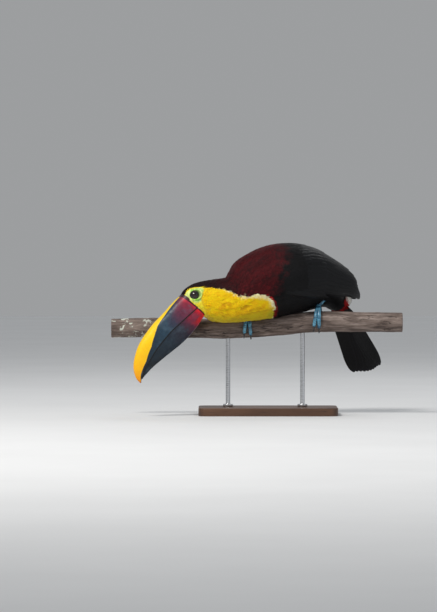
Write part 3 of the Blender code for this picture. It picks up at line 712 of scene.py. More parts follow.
hide_points, hide_faces = closed_tube(hide)
hide_colours = np.concatenate([skin_colour.reshape(-1, 3), np.zeros((2, 3))])
for side in ("left", "right"):
    along, turn = np.meshgrid(np.linspace(0, 1.0, 14), np.linspace(0, 2 * math.pi, 32, endpoint=False),
                              indexing="ij")
    limb_points, limb_faces = closed_tube(limb_surface(side, along, turn, -THIGH_COAT))
    hide_faces += [faces + len(hide_points) for faces in limb_faces]
    hide_points = np.concatenate([hide_points, clear_of_branch(limb_points, SKIN_GAP)])
    hide_colours = np.concatenate([hide_colours, np.tile(BLACK, (len(limb_points), 1))])

skin_finish, tree, shader = new_finish("skin", Roughness=0.5, Subsurface_Weight=0.12,
                                       Subsurface_Scale=0.004, Specular_IOR_Level=0.35)
shade = value_of(tree, "marking", "Color")
mottle = grain(tree, own_place(tree), 700.0, 3.0)
wear(tree, shader, blend(tree, spread(tree, mottle, 0.35, 0.65, 0.0, 0.35), shade,
                         paint(150, 150, 120), "MULTIPLY"))
pimples = add_node(tree, "ShaderNodeTexVoronoi", {"Vector": own_place(tree), "Scale": 1100.0}).outputs[0]
relief(tree, shader, sums(tree, "ADD", pimples, mottle), 0.16, 0.8)
skin = make_mesh("skin", hide_points, hide_faces, skin_finish)
add_values(skin, "marking", hide_colours)
place_piece(skin, "bib", "head", "neck", "trunk", "thigh_left", "thigh_right")

# ---------------------------------------------------------------------------------------------
# Eyes. Wet brown-black balls with a clear, slightly bulging cornea, a dark brown iris and a
# black pupil, held in the skin's rims.

IRIS_RADIUS, PUPIL_RADIUS = 6.2, 3.4
CORNEA_RISE, CORNEA_BREADTH = 0.55, 5.0
EYE_SINK = 0.35  # how much smaller than the solid, so that the lids close over it
OFF_GAZE = 12.0  # what the back of an eyeball carries as its distance from the gaze

eye_finish, tree, shader = new_finish("eyeball", Roughness=0.25, Coat_Weight=0.5, Coat_Roughness=0.03,
                                      Specular_IOR_Level=0.3)
gaze = value_of(tree, "gaze")
spokes = grain(tree, own_place(tree), 900.0, 3.0)
iris = steps(tree, spokes, (0.3, paint(20, 11, 8)), (0.7, paint(46, 27, 17)))
eye_colour = blend(tree, spread(tree, gaze, PUPIL_RADIUS, PUPIL_RADIUS + 0.4), paint(5, 4, 5), iris)
eye_colour = blend(tree, spread(tree, gaze, IRIS_RADIUS, IRIS_RADIUS + 1.2), eye_colour, paint(16, 11, 10))
wear(tree, shader, eye_colour)
for name, side in (("eye_left", 1), ("eye_right", -1)):
    centre, outward, ball = eye_frame(side)
    sideways = np.cross((0, 0, 1.0), outward)
    sideways /= np.linalg.norm(sideways)
    up = np.cross(outward, sideways)
    polar, turn = np.meshgrid(np.linspace(0.04, math.pi - 0.04, 56),
                              np.linspace(0, 2 * math.pi, 72, endpoint=False), indexing="ij")
    off_axis = ball * np.sin(polar)
    bulge = CORNEA_RISE * np.exp(-((off_axis / CORNEA_BREADTH) ** 2)) * (polar < math.pi / 2)
    radius = (ball + bulge - EYE_SINK)[..., None]
    rings = centre + radius * (np.cos(polar)[..., None] * outward
                               + np.sin(polar)[..., None] * (np.cos(turn)[..., None] * sideways
                                                             + np.sin(turn)[..., None] * up))
    points, faces = closed_tube(rings)
    eye = make_mesh(f"{name}_ball", points, faces, eye_finish)
    offset = points - centre
    along_axis = offset @ outward
    gaze_distance = np.linalg.norm(offset - along_axis[:, None] * outward, axis=1)
    add_values(eye, "gaze", np.where(along_axis > 0, gaze_distance, OFF_GAZE))
    place_piece(eye, "eye", name)

# ---------------------------------------------------------------------------------------------
# Bill. Two hollow-looking but closed halves of smooth horn that meet along toothed cutting
# edges. The upper one has a rounded yellow ridge and hooks past the lower. Both are maroon to
# crimson at the face and slate further out.

# Slices: ridge X and Z and lower edge X and Z, half-width, and the upper half's share of the depth
BILL = np.array((
    (-157.5, 215.0, -115.5, 180.5, 20.0, 0.60), (-171.0, 201.5, -124.0, 166.5, 20.0, 0.545),
    (-187.0, 183.5, -136.5, 149.5, 19.0, 0.49), (-206.0, 163.5, -154.5, 131.0, 17.0, 0.48),
    (-227.5, 133.5, -183.5, 107.5, 13.5, 0.55), (-237.0, 109.0, -205.5, 89.0, 10.5, 0.66),
    (-240.0, 88.0, -220.0, 74.0, 7.5, 0.76), (-236.3, 70.5, -226.0, 65.5, 4.0, 0.90),
    (-229.5, 61.0, -227.0, 60.0, 1.2, 0.97)))
BILL_ROOT, BILL_TIP, LOWER_TIP = -0.22, 8.0, 6.75  # slices
UPPER_POWER, LOWER_POWER, LOWER_WIDTH = 0.62, 0.70, 0.94
BILL_GAP = 0.3
YELLOW_BORDER = np.array(((0, 2.0), (1, 5.4), (2, 9.0), (3, 13.4), (4, 22.5), (5, 22.7), (6, 17.1),
                          (7, 9.5), (7.4, 20.0)))  # slice, distance from the ridge
TOOTH_LENGTHS = (6.4, 4.7)  # two spacings whose beat makes the teeth uneven
TOOTH_DEPTH, TOOTH_REACH = 0.75, 1.2
BILL_RINGS, BILL_SIDES = 230, 76


def bill_half(upper):
    """Rings of one half: a flattened round from cutting edge over the ridge to cutting edge, its
    across and down parts cosine and sine raised to a power, closed by an arched inner face.
    Returns points, slice numbers, distance from the ridge, and distance from the edge."""
    sharpening = np.linspace(0, 1, BILL_RINGS)
    at = BILL_ROOT + ((BILL_TIP if upper else LOWER_TIP) - BILL_ROOT) * (1 - (1 - sharpening) ** 1.25)
    xd, zd, xv, zv, half_width, share = (v[:, None] for v in spline(np.arange(len(BILL)), BILL, at).T)
    base_x = (BODY[0, 0] + BODY[0, 2]) / 2
    top, low = (np.stack([x, BODY[0, 4] + (x - base_x) * math.tan(HEAD_YAW), z], -1)
                for x, z in ((xd, zd), (xv, zv)))
    depth = np.linalg.norm(low - top, axis=-1, keepdims=True)
    down = (low - top) / depth
    depth = depth[..., 0]
    reach = depth * (share if upper else 1 - share) - BILL_GAP / 2
    outer = np.linspace(0, math.pi, BILL_SIDES)[None]
    inner = np.linspace(math.pi, 0, 18)[None, 1:-1]
    wide = half_width if upper else half_width * LOWER_WIDTH
    power = UPPER_POWER if upper else LOWER_POWER
    across = np.concatenate([np.sign(np.cos(outer)) * np.abs(np.cos(outer)) ** power, np.cos(inner)], 1)
    rise = np.concatenate([np.sin(outer), 0.10 * np.sin(inner)], 1)
    run = np.cumsum(np.append(0, np.linalg.norm(np.diff(top[:, 0], axis=0), axis=1)))[:, None]
    one, two = (np.abs((run / tooth) % 1 - 0.5) * 2 for tooth in TOOTH_LENGTHS)
    toothed = smooth_step(at, 1.2, 2.6)[:, None] * smooth_step(-at, -7.6, -6.4)[:, None]
    notch = TOOTH_DEPTH * (one * two) ** 2 * toothed
    on_outside = np.arange(rise.shape[1])[None] < BILL_SIDES
    near_edge = np.exp(-rise * reach / TOOTH_REACH) * on_outside
    height = rise * reach + (notch * near_edge if upper else 0.4 * notch * near_edge)
    edge = top + down * (depth * share + (-1 if upper else 1) * BILL_GAP / 2)[..., None]
    away = -down if upper else down
    points = edge + HEAD_LEFT * (wide * across)[..., None] + away * height[..., None]
    growth = 0.10 * ripple(points * (0.35, 0.35, 0.35), 5.0, 31, 2)
    points = points + away * (growth * rise)[..., None]
    from_ridge = np.hypot(wide * across, depth * share - height if upper else depth * share + height)
    from_edge = np.where(on_outside, rise * reach, 0.0)
    return points, at[:, None] + 0 * rise, from_ridge, from_edge


def horn_finish(name, upper):
    """Smooth horn whose colours follow three values of each place: along, border and edge."""
    finish, tree, shader = new_finish(name, Roughness=0.3, Coat_Weight=0.05, Coat_Roughness=0.3,
                                      Subsurface_Weight=0.06, Subsurface_Scale=0.004,
                                      Specular_IOR_Level=0.35)
    along, border, edge = (value_of(tree, value) for value in ("along", "border", "edge"))
    cloud = grain(tree, own_place(tree), 55.0, 4.0)
    streak = grain(tree, own_place(tree), 160.0, 3.0)
    wander = sums(tree, "MULTIPLY", sums(tree, "SUBTRACT", cloud, 0.5), 0.16)
    at = sums(tree, "ADD", along, wander)
    if upper:
        at = sums(tree, "ADD", at, spread(tree, border, 0.0, 13.0, 0.19, 0.0))
        side = steps(tree, at, (0.0, paint(196, 34, 58)), (0.05, paint(138, 34, 58)),
                     (0.17, paint(100, 42, 66)), (0.27, paint(54, 54, 74)), (0.38, paint(36, 62, 80)),
                     (0.60, paint(26, 50, 66)), (0.85, paint(18, 30, 42)))
    else:
        side = steps(tree, at, (0.0, paint(240, 8, 24)), (0.035, paint(196, 18, 46)),
                     (0.11, paint(150, 22, 54)), (0.21, paint(84, 32, 56)), (0.30, paint(40, 38, 54)),
                     (0.42, paint(22, 40, 54)), (0.60, paint(14, 28, 38)), (0.85, paint(10, 16, 22)))
        keel = sums(tree, "MULTIPLY", spread(tree, edge, 13.0, 20.0),
                    spread(tree, at, 0.08, 0.20, 1.0, 0.0))
        side = blend(tree, keel, side, paint(226, 4, 18))
    side = blend(tree, spread(tree, streak, 0.35, 0.7, 0.0, 0.45), side, paint(176, 190, 200), "MULTIPLY")
    # Pale bluish clouds on the slate: painted sheen, with some mottling of the horn.
    side = blend(tree, spread(tree, cloud, 0.5, 0.75, 0.0, 0.28), side, paint(92, 112, 128))
    if upper:
        ridge = steps(tree, along, (0.008, paint(30, 14, 14)), (0.022, paint(244, 208, 8)),
                      (0.45, paint(254, 208, 4)), (0.75, paint(255, 186, 4)),
                      (0.93, paint(252, 156, 10)), (1.0, paint(222, 128, 84)))
        ridge = blend(tree, spread(tree, streak, 0.4, 0.75, 0.0, 0.35), ridge, paint(255, 226, 150),
                      "MULTIPLY")
        ragged = sums(tree, "ADD", border, sums(tree, "MULTIPLY", wander, 7.0))
        side = blend(tree, spread(tree, ragged, -0.45, 0.45), ridge, side)
    dark = paint(12, 12, 16)
    side = blend(tree, spread(tree, along, 0.006, 0.015, 0.9, 0.0), side, dark)
    colour = blend(tree, spread(tree, edge, 0.55, 1.5, 0.95, 0.0), side, dark)
    wear(tree, shader, colour)
    tree.links.new(spread(tree, streak, 0.3, 0.7, 0.42, 0.56), shader.inputs["Roughness"])
    relief(tree, shader, sums(tree, "ADD", streak, grain(tree, own_place(tree), 900.0, 3.0)), 0.10, 0.45)
    return finish


for name, upper, slot in (("upper_bill", True, "bill_yellow"), ("lower_bill", False, "bill_dark")):
    rings, slices, from_ridge, from_edge = bill_half(upper)
    points, faces = closed_tube(rings)
    half = make_mesh(name, points, faces, horn_finish(f"horn_{name}", upper), smooth=False)
    half.shade_smooth()
    half.set_sharp_from_angle(angle=math.radians(60))
    border = from_ridge - np.interp(slices, *YELLOW_BORDER.T)
    for value, array in (("along", slices / BILL_TIP), ("border", border), ("edge", from_edge)):
        add_values(half, value, np.append(array.ravel(), array[[0, -1], 0]))
    place_piece(half, slot, "bill_upper" if upper else "bill_lower")

# ---------------------------------------------------------------------------------------------
# Plumage of head, neck and trunk. Thousands of small vanes rooted in the skin, each lying back
# over the next: hair-fine and short on the crown and round the face, silky with frayed tips on
# the bib, softer and longer on the mantle, close and glossy black behind. The sheets of colour
# are the feathers' own, with painted shade at their roots and painted highlights at their tips.

VANE_ROWS = ((0.0, 1, 0.10), (0.34, 3, 0.80), (0.68, 5, 1.0), (1.0, 9, 0.80))  # place, points, width
PLASTIC_STEPS = (0.7548776662, 0.5698402910)  # one over the plastic number, and one over its square
BARB_TURN = 6.283  # radians from one barb to the next
BARB_SLANT = 0.45
ROOT_PROBES = 60  # places across a patch where its stretch is measured
ROOT_STRAY = 0.35  # how far a root strays, as a share of the spacing
TIP_LIFT = 1.2
VANE_GAP = 0.5  # between the feathers and the branch
MAP_STATIONS, MAP_MARGIN, MAP_PATCH = 18.0, 0.02, 0.003


def vane_shape(split, tip_round, blunt=1.0):
    """A vane as four rows of 1, 3, 5 and 9 points, each row joined to the next by triangles. The
    last row is a zigzag: every other barb tip is drawn back by the split, and the outer ones by
    the roundness. Returns place along, place across, and faces."""
    along, across, faces, first = [], [], [], 0
    for row, (place, count, width) in enumerate(VANE_ROWS):
        v = np.linspace(-1, 1, count) if count > 1 else np.zeros(1)
        last = row == len(VANE_ROWS) - 1
        along.append(place - last * (tip_round * v**2 + split * (np.arange(count) % 2)) + 0 * v)
        across.append(v * (width * blunt if last else width))
        if row:
            before = VANE_ROWS[row - 1][1]
            start = first - before
            if before == 1:
                faces += [(start, first, first + 1), (start, first + 1, first + 2)]
            for k in range(before - 1):
                one, two, three = first + 2 * k, first + 2 * k + 1, first + 2 * k + 2
                faces += [(start + k, one, two), (start + k, two, start + k + 1),
                          (start + k + 1, two, three)]
        first += count
    return np.concatenate(along), np.concatenate(across), np.array(faces)


def rates(surface, a, b):
    """Millimetres moved on a surface for one unit of each of its two parameters."""
    step = 0.01
    return [np.linalg.norm(surface(a + da, b + db) - surface(a - da, b - db), axis=-1) / (2 * step)
            for da, db in ((step, 0), (0, step))]


def lay_vanes(surface, a, b, length, width, turn, shape, root, tip, camber=0.06, curl=0.0):
    """Vanes that follow a surface. A vane's point at (along, across) lies that far from its root
    measured on the surface, in the vane's own direction, and its height goes from the root's to
    the tip's along it and drops towards its sides. A length, width or height may be one for all.
    Returns points, vanes x template x 3."""
    along, across, _ = shape
    length, width, root, tip = (value + 0 * a for value in (length, width, root, tip))
    rate_a, rate_b = rates(surface, a, b)
    forward = length[:, None] * along
    sideways = 0.5 * width[:, None] * across + curl * forward * along
    turn = turn[:, None]
    at_a = a[:, None] + (forward * np.cos(turn) - sideways * np.sin(turn)) / rate_a[:, None]
    at_b = b[:, None] + (forward * np.sin(turn) + sideways * np.cos(turn)) / rate_b[:, None]
    height = (root[:, None] + (tip - root)[:, None] * along**TIP_LIFT
              - camber * width[:, None] * across**2)
    return surface(at_a, at_b, height)


def scatter(surface, low, high, spacing, seed, turn_from=-math.pi, turn_to=math.pi, where=None):
    """Roots spread evenly over a patch of surface: a plastic-number sequence in the unit square,
    thinned so that each root has spacing x spacing millimetres to itself. Only the roots where a
    test of their place holds are kept."""
    chance = np.random.default_rng(seed)
    a_probe, b_probe = np.meshgrid(np.linspace(low, high, ROOT_PROBES),
                                   np.linspace(turn_from, turn_to, ROOT_PROBES), indexing="ij")
    rate_a, rate_b = rates(surface, a_probe, b_probe)
    densest = (rate_a * rate_b).max()
    area = densest * (high - low) * (turn_to - turn_from)
    index = np.arange(int(area / spacing**2))
    a = low + (high - low) * ((0.5 + index * PLASTIC_STEPS[0]) % 1)
    b = turn_from + (turn_to - turn_from) * ((0.5 + index * PLASTIC_STEPS[1]) % 1)
    rate_a, rate_b = rates(surface, a, b)
    kept = chance.random(len(a)) < rate_a * rate_b / densest
    stray = ROOT_STRAY * spacing * chance.normal(size=(2, kept.sum()))
    a, b = a[kept] + stray[0] / rate_a[kept], b[kept] + stray[1] / rate_b[kept]
    if where:
        inside = where(a, b)
        a, b = a[inside], b[inside]
    return a, b, chance


def bake_map(station, angle, along, across):
    """The map for baking: a small patch for each vane, at its root's place on the body unrolled by
    station and angle."""
    inner = 1 - 2 * MAP_MARGIN
    centre_u = MAP_MARGIN + inner * np.clip(station / MAP_STATIONS, 0, 1)
    centre_v = MAP_MARGIN + inner * (((angle + math.pi) / (2 * math.pi)) % 1)
    return np.stack([centre_u[:, None] + MAP_PATCH * (along - 0.5),
                     centre_v[:, None] + MAP_PATCH / 2 * across], -1)


def coat_mesh(name, groups, finish):
    """One mesh from groups of vanes: points, shape, colours and the place of each root."""
    points, faces, colours, patches, barbs, first = [], [], [], [], [], 0
    for vanes, (along, across, template), colour, station, angle in groups:
        count, corners = vanes.shape[:2]
        points.append(clear_of_branch(vanes, VANE_GAP).reshape(-1, 3))
        starts = first + corners * np.arange(count)
        faces.append((template[None] + starts[:, None, None]).reshape(-1, 3))
        colours.append(colour.reshape(-1, 3))
        patches.append(bake_map(station, angle, along, across).reshape(-1, 2))
        barbs.append(np.tile(np.stack([along, across], -1), (count, 1)))
        first += count * corners
    points, faces, colours, patches, barbs = map(np.concatenate,
                                                 (points, faces, colours, patches, barbs))
    mesh = make_mesh(name, points, [faces], finish)
    add_values(mesh, "marking", colours)
    for layer, places in (("vane", barbs), ("OFBake", patches)):
        mesh.uv_layers.new(name=layer).data.foreach_set("uv", places[faces].astype(np.float32).ravel())
    return mesh


def feather_finish(name, barb_contrast=0.25, barb_count=26.0, **sockets):
    """Feather colour from the vane's marking, with fine barbs that slant out from its middle."""
    finish, tree, shader = new_finish(name, **sockets)
    marking = value_of(tree, "marking", "Color")
    place = add_node(tree, "ShaderNodeUVMap", {}, uv_map="vane").outputs[0]
    parts = add_node(tree, "ShaderNodeSeparateXYZ", {"Vector": place}).outputs
    off_middle = sums(tree, "ABSOLUTE", parts[1], 0.0)
    slant = sums(tree, "SUBTRACT", parts[0], sums(tree, "MULTIPLY", off_middle, BARB_SLANT))
    barb = sums(tree, "SINE", sums(tree, "MULTIPLY", slant, barb_count * BARB_TURN), 0.0)
    fray = grain(tree, own_place(tree), 850.0, 2.0)
    lines = spread(tree, sums(tree, "ADD", sums(tree, "MULTIPLY", barb, 0.35), fray), 0.1, 0.95)
    dim = (*[1 - barb_contrast] * 3, 1.0)
    colour = blend(tree, lines, blend(tree, 1.0, marking, dim, "MULTIPLY"), marking)
    wear(tree, shader, colour)
    relief(tree, shader, lines, 0.12, 0.5)
    return finish


def vane_colours(base, along, across, chance, root_dark=0.45, tip_light=0.18, streak=0.08):
    """Each vane's colour from root to tip: painted shade of its neighbours darkens the root, and
    the tip is lighter and a little uneven, partly its paler fringe and partly painted highlight."""
    lift = (1 - root_dark) + root_dark * smooth_step(along, 0.1, 0.7)
    lift = lift + tip_light * smooth_step(along, 0.75, 1.0)
    noise = 1 + streak * chance.normal(size=(len(base), len(along)))
    return np.clip(base[:, None, :] * (lift * noise)[..., None], 0, 1)


SILKY, SOFT, CLOSE = vane_shape(0.20, 0.16, 0.9), vane_shape(0.14, 0.20), vane_shape(0.05, 0.24, 0.9)

# The folded wings swell the outline behind the shoulders. Stations as the body's as far as the
# rump, then four of the wings' own to their tips, with the wings' thickness in the last column.
WING_THICKNESS = 6.3
WING_ENDS = ((147.0, 258.0, 122.0, 199.5, 44.0, 26.0, 37.0, 0.0),
             (161.5, 234.0, 138.0, 201.0, 51.0, 27.0, 27.0, 0.0),
             (167.5, 215.0, 152.0, 203.0, 57.0, 28.0, 16.0, 0.0),
             (168.0, 208.5, 160.0, 204.5, 60.0, 28.0, 7.0, 0.0))
OUTLINE = np.column_stack([np.concatenate([BODY[:14], WING_ENDS]),
                           np.repeat((0.0, WING_THICKNESS, 0.0), (8, 6, 4))])
OUTLINE_END = len(OUTLINE) - 1.0
WING_EDGE = np.array(((8.3, 90), (8.7, 102), (9.1, 107), (9.6, 112), (10.3, 117), (11.4, 125), (12.7, 130),
                      (14.0, 138), (15.2, 132), (16.2, 112), (17.0, 75)))  # station, lower edge in degrees


def back_surface(station, angle, height=0.0):
    """The outline over mantle and folded wings: the body's, swollen behind the shoulders and
    above the wings' lower edges."""
    rows = spline(np.arange(len(OUTLINE)), OUTLINE, np.clip(station, 0, OUTLINE_END + 0.2))
    over = np.interp(station, *WING_EDGE.T) - folded(angle)
    swollen = rows[..., 8] * smooth_step(over, -9, 6) * smooth_step(station, 7.6, 10.6)
    return loft(rows[..., :8], angle, swollen + height)


def grow(surface, a, b, chance, length, width, shape, rise, sag=0.0, locks=0.0, camber=0.06, slope=0.14,
         keep=None, **shades):
    """A group of vanes with the body's markings, taken where most of the vane shows. It sags
    towards the belly, follows the bib's edge beside it, wavers with its neighbours in locks, and
    rises to its tip."""
    rate, turn_rate = rates(surface, a, b)
    falls = np.radians(np.interp(a + 0.4, *BIB_EDGE.T) - np.interp(a - 0.4, *BIB_EDGE.T)) / 0.8
    beside = 1 - smooth_step(np.abs(under_bib_edge(a, b)), 4, 24)
    beside *= smooth_step(a, 1.4, 2.4) * smooth_step(-a, -7.9, -7.2)
    locks = locks * (1 - 0.8 * beside)
    waves = ripple(np.stack([(a + 0.7 * length / rate) * 9, np.degrees(b) * 0.9, 0 * b], -1), 17.0, 42, 2)
    turn = np.sign(b) * (sag + (0.10 - 0.06 * beside) * chance.normal(size=len(a)) + locks * waves
                         + beside * np.arctan(falls * turn_rate / rate))
    seen_a = a + 0.7 * length * np.cos(turn) / rate
    seen_b = b + 0.7 * length * np.sin(turn) / turn_rate
    uneven = ripple(body_surface(seen_a, seen_b), 16.0, 21)
    # Half of each shade is random tone and half follows the waves that on the bib and mantle also lift the
    # tips into locks: there it is painted light and shade over the locks' relief.
    shade = np.clip(0.5 * chance.normal(size=len(a)) + 0.5 * waves, -1, 1)
    colour = plumage_colour(seen_a, seen_b, uneven, shade)
    tip = rise * (0.6 + 0.5 * chance.random(len(a))) + locks * 3.2 * waves
    root = -np.minimum(coat_depth(a, b), slope * length) - 0.25
    vanes = lay_vanes(surface, a, b, length, width, turn, shape, root, tip, camber,
                      0.10 * chance.normal(size=(len(a), 1)))
    colours = vane_colours(colour, shape[0], shape[1], chance, **shades)
    kept = slice(None) if keep is None else keep(seen_a, seen_b, uneven)
    return vanes[kept], shape, colours[kept], a[kept], b[kept]


def clear_of_face(a, b):
    """How far behind the bare face a root lies, in stations, and not under the bill's edge."""
    behind = a - np.interp(folded(b), *FACE_EDGE.T)
    return np.maximum(behind, -under_bib_edge(a, b) / 12.0)


def clear_of_bib(station, angle, uneven):
    """Whether a place lies outside the bib and its red band."""
    bib, _, band, _, _ = markings(station, angle, uneven)
    return bib + band < 0.5


silk = feather_finish("silky_feather", 0.10, 18.0, Roughness=0.62, Sheen_Weight=0.06, Sheen_Roughness=0.4,
                      Specular_IOR_Level=0.18)
velvet = feather_finish("velvet_feather", 0.35, 22.0, Roughness=0.6, Sheen_Weight=0.03,
                        Sheen_Roughness=0.45, Specular_IOR_Level=0.12)
gloss = feather_finish("glossy_black_feather", 0.4, 26.0, Roughness=0.5, Specular_IOR_Level=0.14)

# Crown and forehead: short, dark, laid flat back from the bill.
a, b, chance = scatter(body_surface, 0.02, 4.0, 1.5, 51, -math.radians(62), math.radians(62),
                       lambda a, b: (under_bib_edge(a, b) < -2.2) & (clear_of_face(a, b) > 0.03))
size = smooth_step(a, 0.0, 3.5)
crown = grow(body_surface, a, b, chance, 5.0 + 7.0 * size, 2.2 + 2.6 * size, SOFT, 0.4, sag=0.04,
             root_dark=0.5, tip_light=0.35, streak=0.12)
place_piece(coat_mesh("crown_feathers", [crown], velvet), "maroon")

# Bib: silky, in wavy locks, frayed at the tips, shortest behind the face.
a, b, chance = scatter(body_surface, 0.25, 8.45, 1.75, 52,
                       where=lambda a, b: (under_bib_edge(a, b) > -0.5) & (clear_of_face(a, b) > 0.0))
size = smooth_step(clear_of_face(a, b), 0.0, 2.2)
bib = grow(body_surface, a, b, chance, 4.5 + 10.0 * size, 2.4 + 3.0 * size, SILKY, 0.5, sag=0.10,
           locks=0.42, keep=lambda s, t, u: markings(s, t, u)[0] > 0.5,
           root_dark=0.2, tip_light=0.1, streak=0.04)
half = len(bib[0]) // 2
for name, part in (("bib_feathers_front", slice(None, half)), ("bib_feathers_back", slice(half, None))):
    group = tuple(array if array is bib[1] else array[part] for array in bib)
    place_piece(coat_mesh(name, [group], silk), "bib")

# Nape and mantle: longer and looser, chestnut maroon with paler wisps at the tips that are partly painted
# highlight.
a, b, chance = scatter(back_surface, 3.3, 10.3, 2.3, 53, -math.radians(118), math.radians(118),
                       lambda a, b: ((under_bib_edge(a, b) < -2.6)
                                     & (a < 8.5 + 1.8 * (1 - smooth_step(folded(b), 30, 60)))))
size = smooth_step(a, 3.3, 8.0)
mantle = grow(back_surface, a, b, chance, 11.0 + 9.0 * size, 4.4 + 3.2 * size, SOFT, 0.9, sag=0.12,
              locks=0.14, keep=clear_of_bib,
              root_dark=0.5, tip_light=0.55, streak=0.14)
place_piece(coat_mesh("mantle_feathers", [mantle], velvet), "maroon")

# Red band behind the bib, then the black breast, belly and flanks.
a, b, chance = scatter(body_surface, 7.9, 9.2, 1.7, 54)
band = grow(body_surface, a, b, chance, 12.0, 4.6, SILKY, 0.1, sag=0.05,
            keep=lambda s, t, u: markings(s, t, u)[2] > 0.5, root_dark=0.4, tip_light=0.2, streak=0.10)
place_piece(coat_mesh("red_band_feathers", [band], silk), "bib")
a, b, chance = scatter(body_surface, 8.2, 14.6, 2.7, 55,
                       where=lambda a, b: folded(b) > np.interp(a, *WING_EDGE.T) - 16)
belly = grow(body_surface, a, b, chance, 19.0, 8.0, SOFT, 0.1, sag=0.05,
             keep=clear_of_bib,
             root_dark=0.4, tip_light=0.3, streak=0.15)
place_piece(coat_mesh("belly_feathers", [belly], gloss), "black")

# Thighs: short black feathers down to the ankles.
thigh_groups = []
for side, seed in (("left", 56), ("right", 57)):
    def on_thigh(a, b, height=0.0, side=side):
        """This side's thigh, with the root of each vane in millimetres along it as a."""
        return limb_surface(side, a, b, height)
    a, b, chance = scatter(on_thigh, 0.05, 0.90, 2.0, seed)
    count = len(a)
    vanes = lay_vanes(on_thigh, a, b, 11.0 - 4 * a, 5.2 - 1.5 * a, 0.12 * chance.normal(size=count), SOFT,
                      -THIGH_COAT, 0.5 + 0.5 * chance.random(count))
    base = np.tile(BLACK, (count, 1)) * (1 + 0.3 * chance.normal(size=(count, 1)))
    thigh_groups.append((vanes, SOFT, vane_colours(base, SOFT[0], SOFT[1], chance),
                         np.full(count, 12.0), b))
place_piece(coat_mesh("thigh_feathers", thigh_groups, gloss), "black")

# ---------------------------------------------------------------------------------------------
# Wings. Each folded wing is a bed of down and flesh under its quills: primaries and secondaries
# stacked lengthwise, greater and median coverts in rows over their roots, and small coverts up
# to the wrist. The scapulars hang over its upper edge from the back.

WING_TOP = math.radians(5.0)
WING_BOW = 0.05
UNEVEN_STATION, UNEVEN_TURN = 0.09, 1.2  # how unevenly the tips of a row end
QUILL_ROWS, QUILL_POINTS = 15, 7


def quill_shape(rows=QUILL_ROWS, points=QUILL_POINTS):
    """A long vane as a grid of rows along it and points across, as triangles."""
    along, across = np.meshgrid(np.linspace(0, 1, rows), np.linspace(-1, 1, points), indexing="ij")
    row, side = np.meshgrid(np.arange(rows - 1), np.arange(points - 1), indexing="ij")
    corner = (row * points + side).ravel()
    faces = np.concatenate([np.stack([corner, corner + points, corner + 1], -1),
                            np.stack([corner + 1, corner + points, corner + points + 1], -1)])
    return along.ravel(), across.ravel(), faces


QUILL = quill_shape()
QUILL_BLACK, QUILL_EDGE = tint(11, 12, 15), tint(34, 34, 40)


def vane_outline(along, tip_round=0.22):
    """Half-width of a quill's vane as a share of its widest: it opens from the bare shaft, holds
    its width and closes in a round tip, as a quarter circle."""
    opening = 0.12 + 0.88 * smooth_step(along, 0.0, 0.30)
    into_tip = np.clip((along - (1 - tip_round)) / tip_round, 0, 1)
    return opening * np.sqrt(1 - 0.985 * into_tip**2)


def lay_quills(surface, roots, tips, width, root, tip, bow=0.0, cup=0.6, narrow_side=0.62, vane=QUILL):
    """Quill vanes on a surface, each from its root to its tip in the surface's parameters. Points
    lie at right angles to that line by the outline's half-width, narrower on the leading side,
    the shaft stands up as a ridge and the sides are cupped down."""
    along, across, _ = vane
    line = roots[:, None, :] + (tips - roots)[:, None, :] * along[None, :, None]
    line[..., 1] += bow * np.sin(math.pi * along)
    ahead = tips - roots
    rate_a, rate_b = rates(surface, line[..., 0], line[..., 1])
    run_a, run_b = ahead[:, :1] * rate_a, ahead[:, 1:] * rate_b
    length = np.hypot(run_a, run_b)
    half = 0.5 * width[:, None] * vane_outline(along) * np.where(across < 0, narrow_side, 1.0)
    a = line[..., 0] - run_b / length * half * across / rate_a
    b = line[..., 1] + run_a / length * half * across / rate_b
    ridge = 0.35 * np.exp(-((across / 0.16) ** 2)) * (1 - 0.7 * along)
    barbs = 0.10 * np.sin((along - 0.30 * np.abs(across)) * 90.0)
    height = (root[:, None] + (tip - root)[:, None] * along + ridge + barbs
              - cup * width[:, None] / 12.0 * across**2 * vane_outline(along))
    return surface(a, b, height)


def quill_colours(count, chance, vane=QUILL):
    """Black vanes with slightly paler edges and tip, each a little lighter or darker."""
    along, across, _ = vane
    rim = np.maximum(smooth_step(np.abs(across), 0.75, 1.0), smooth_step(along, 0.93, 1.0))
    colour = mingle(np.tile(QUILL_BLACK, (count, len(along), 1)), QUILL_EDGE,
                    np.broadcast_to(0.55 * rim, (count, len(along))))
    return colour * (1 + 0.10 * chance.normal(size=(count, 1, 1)))


def row_of(count, low, high):
    """Values from low to high, one for each feather of a row."""
    return np.linspace(low, high, count)


wing_gloss = feather_finish("wing_quill", 0.35, 70.0, Roughness=0.42, Specular_IOR_Level=0.18)
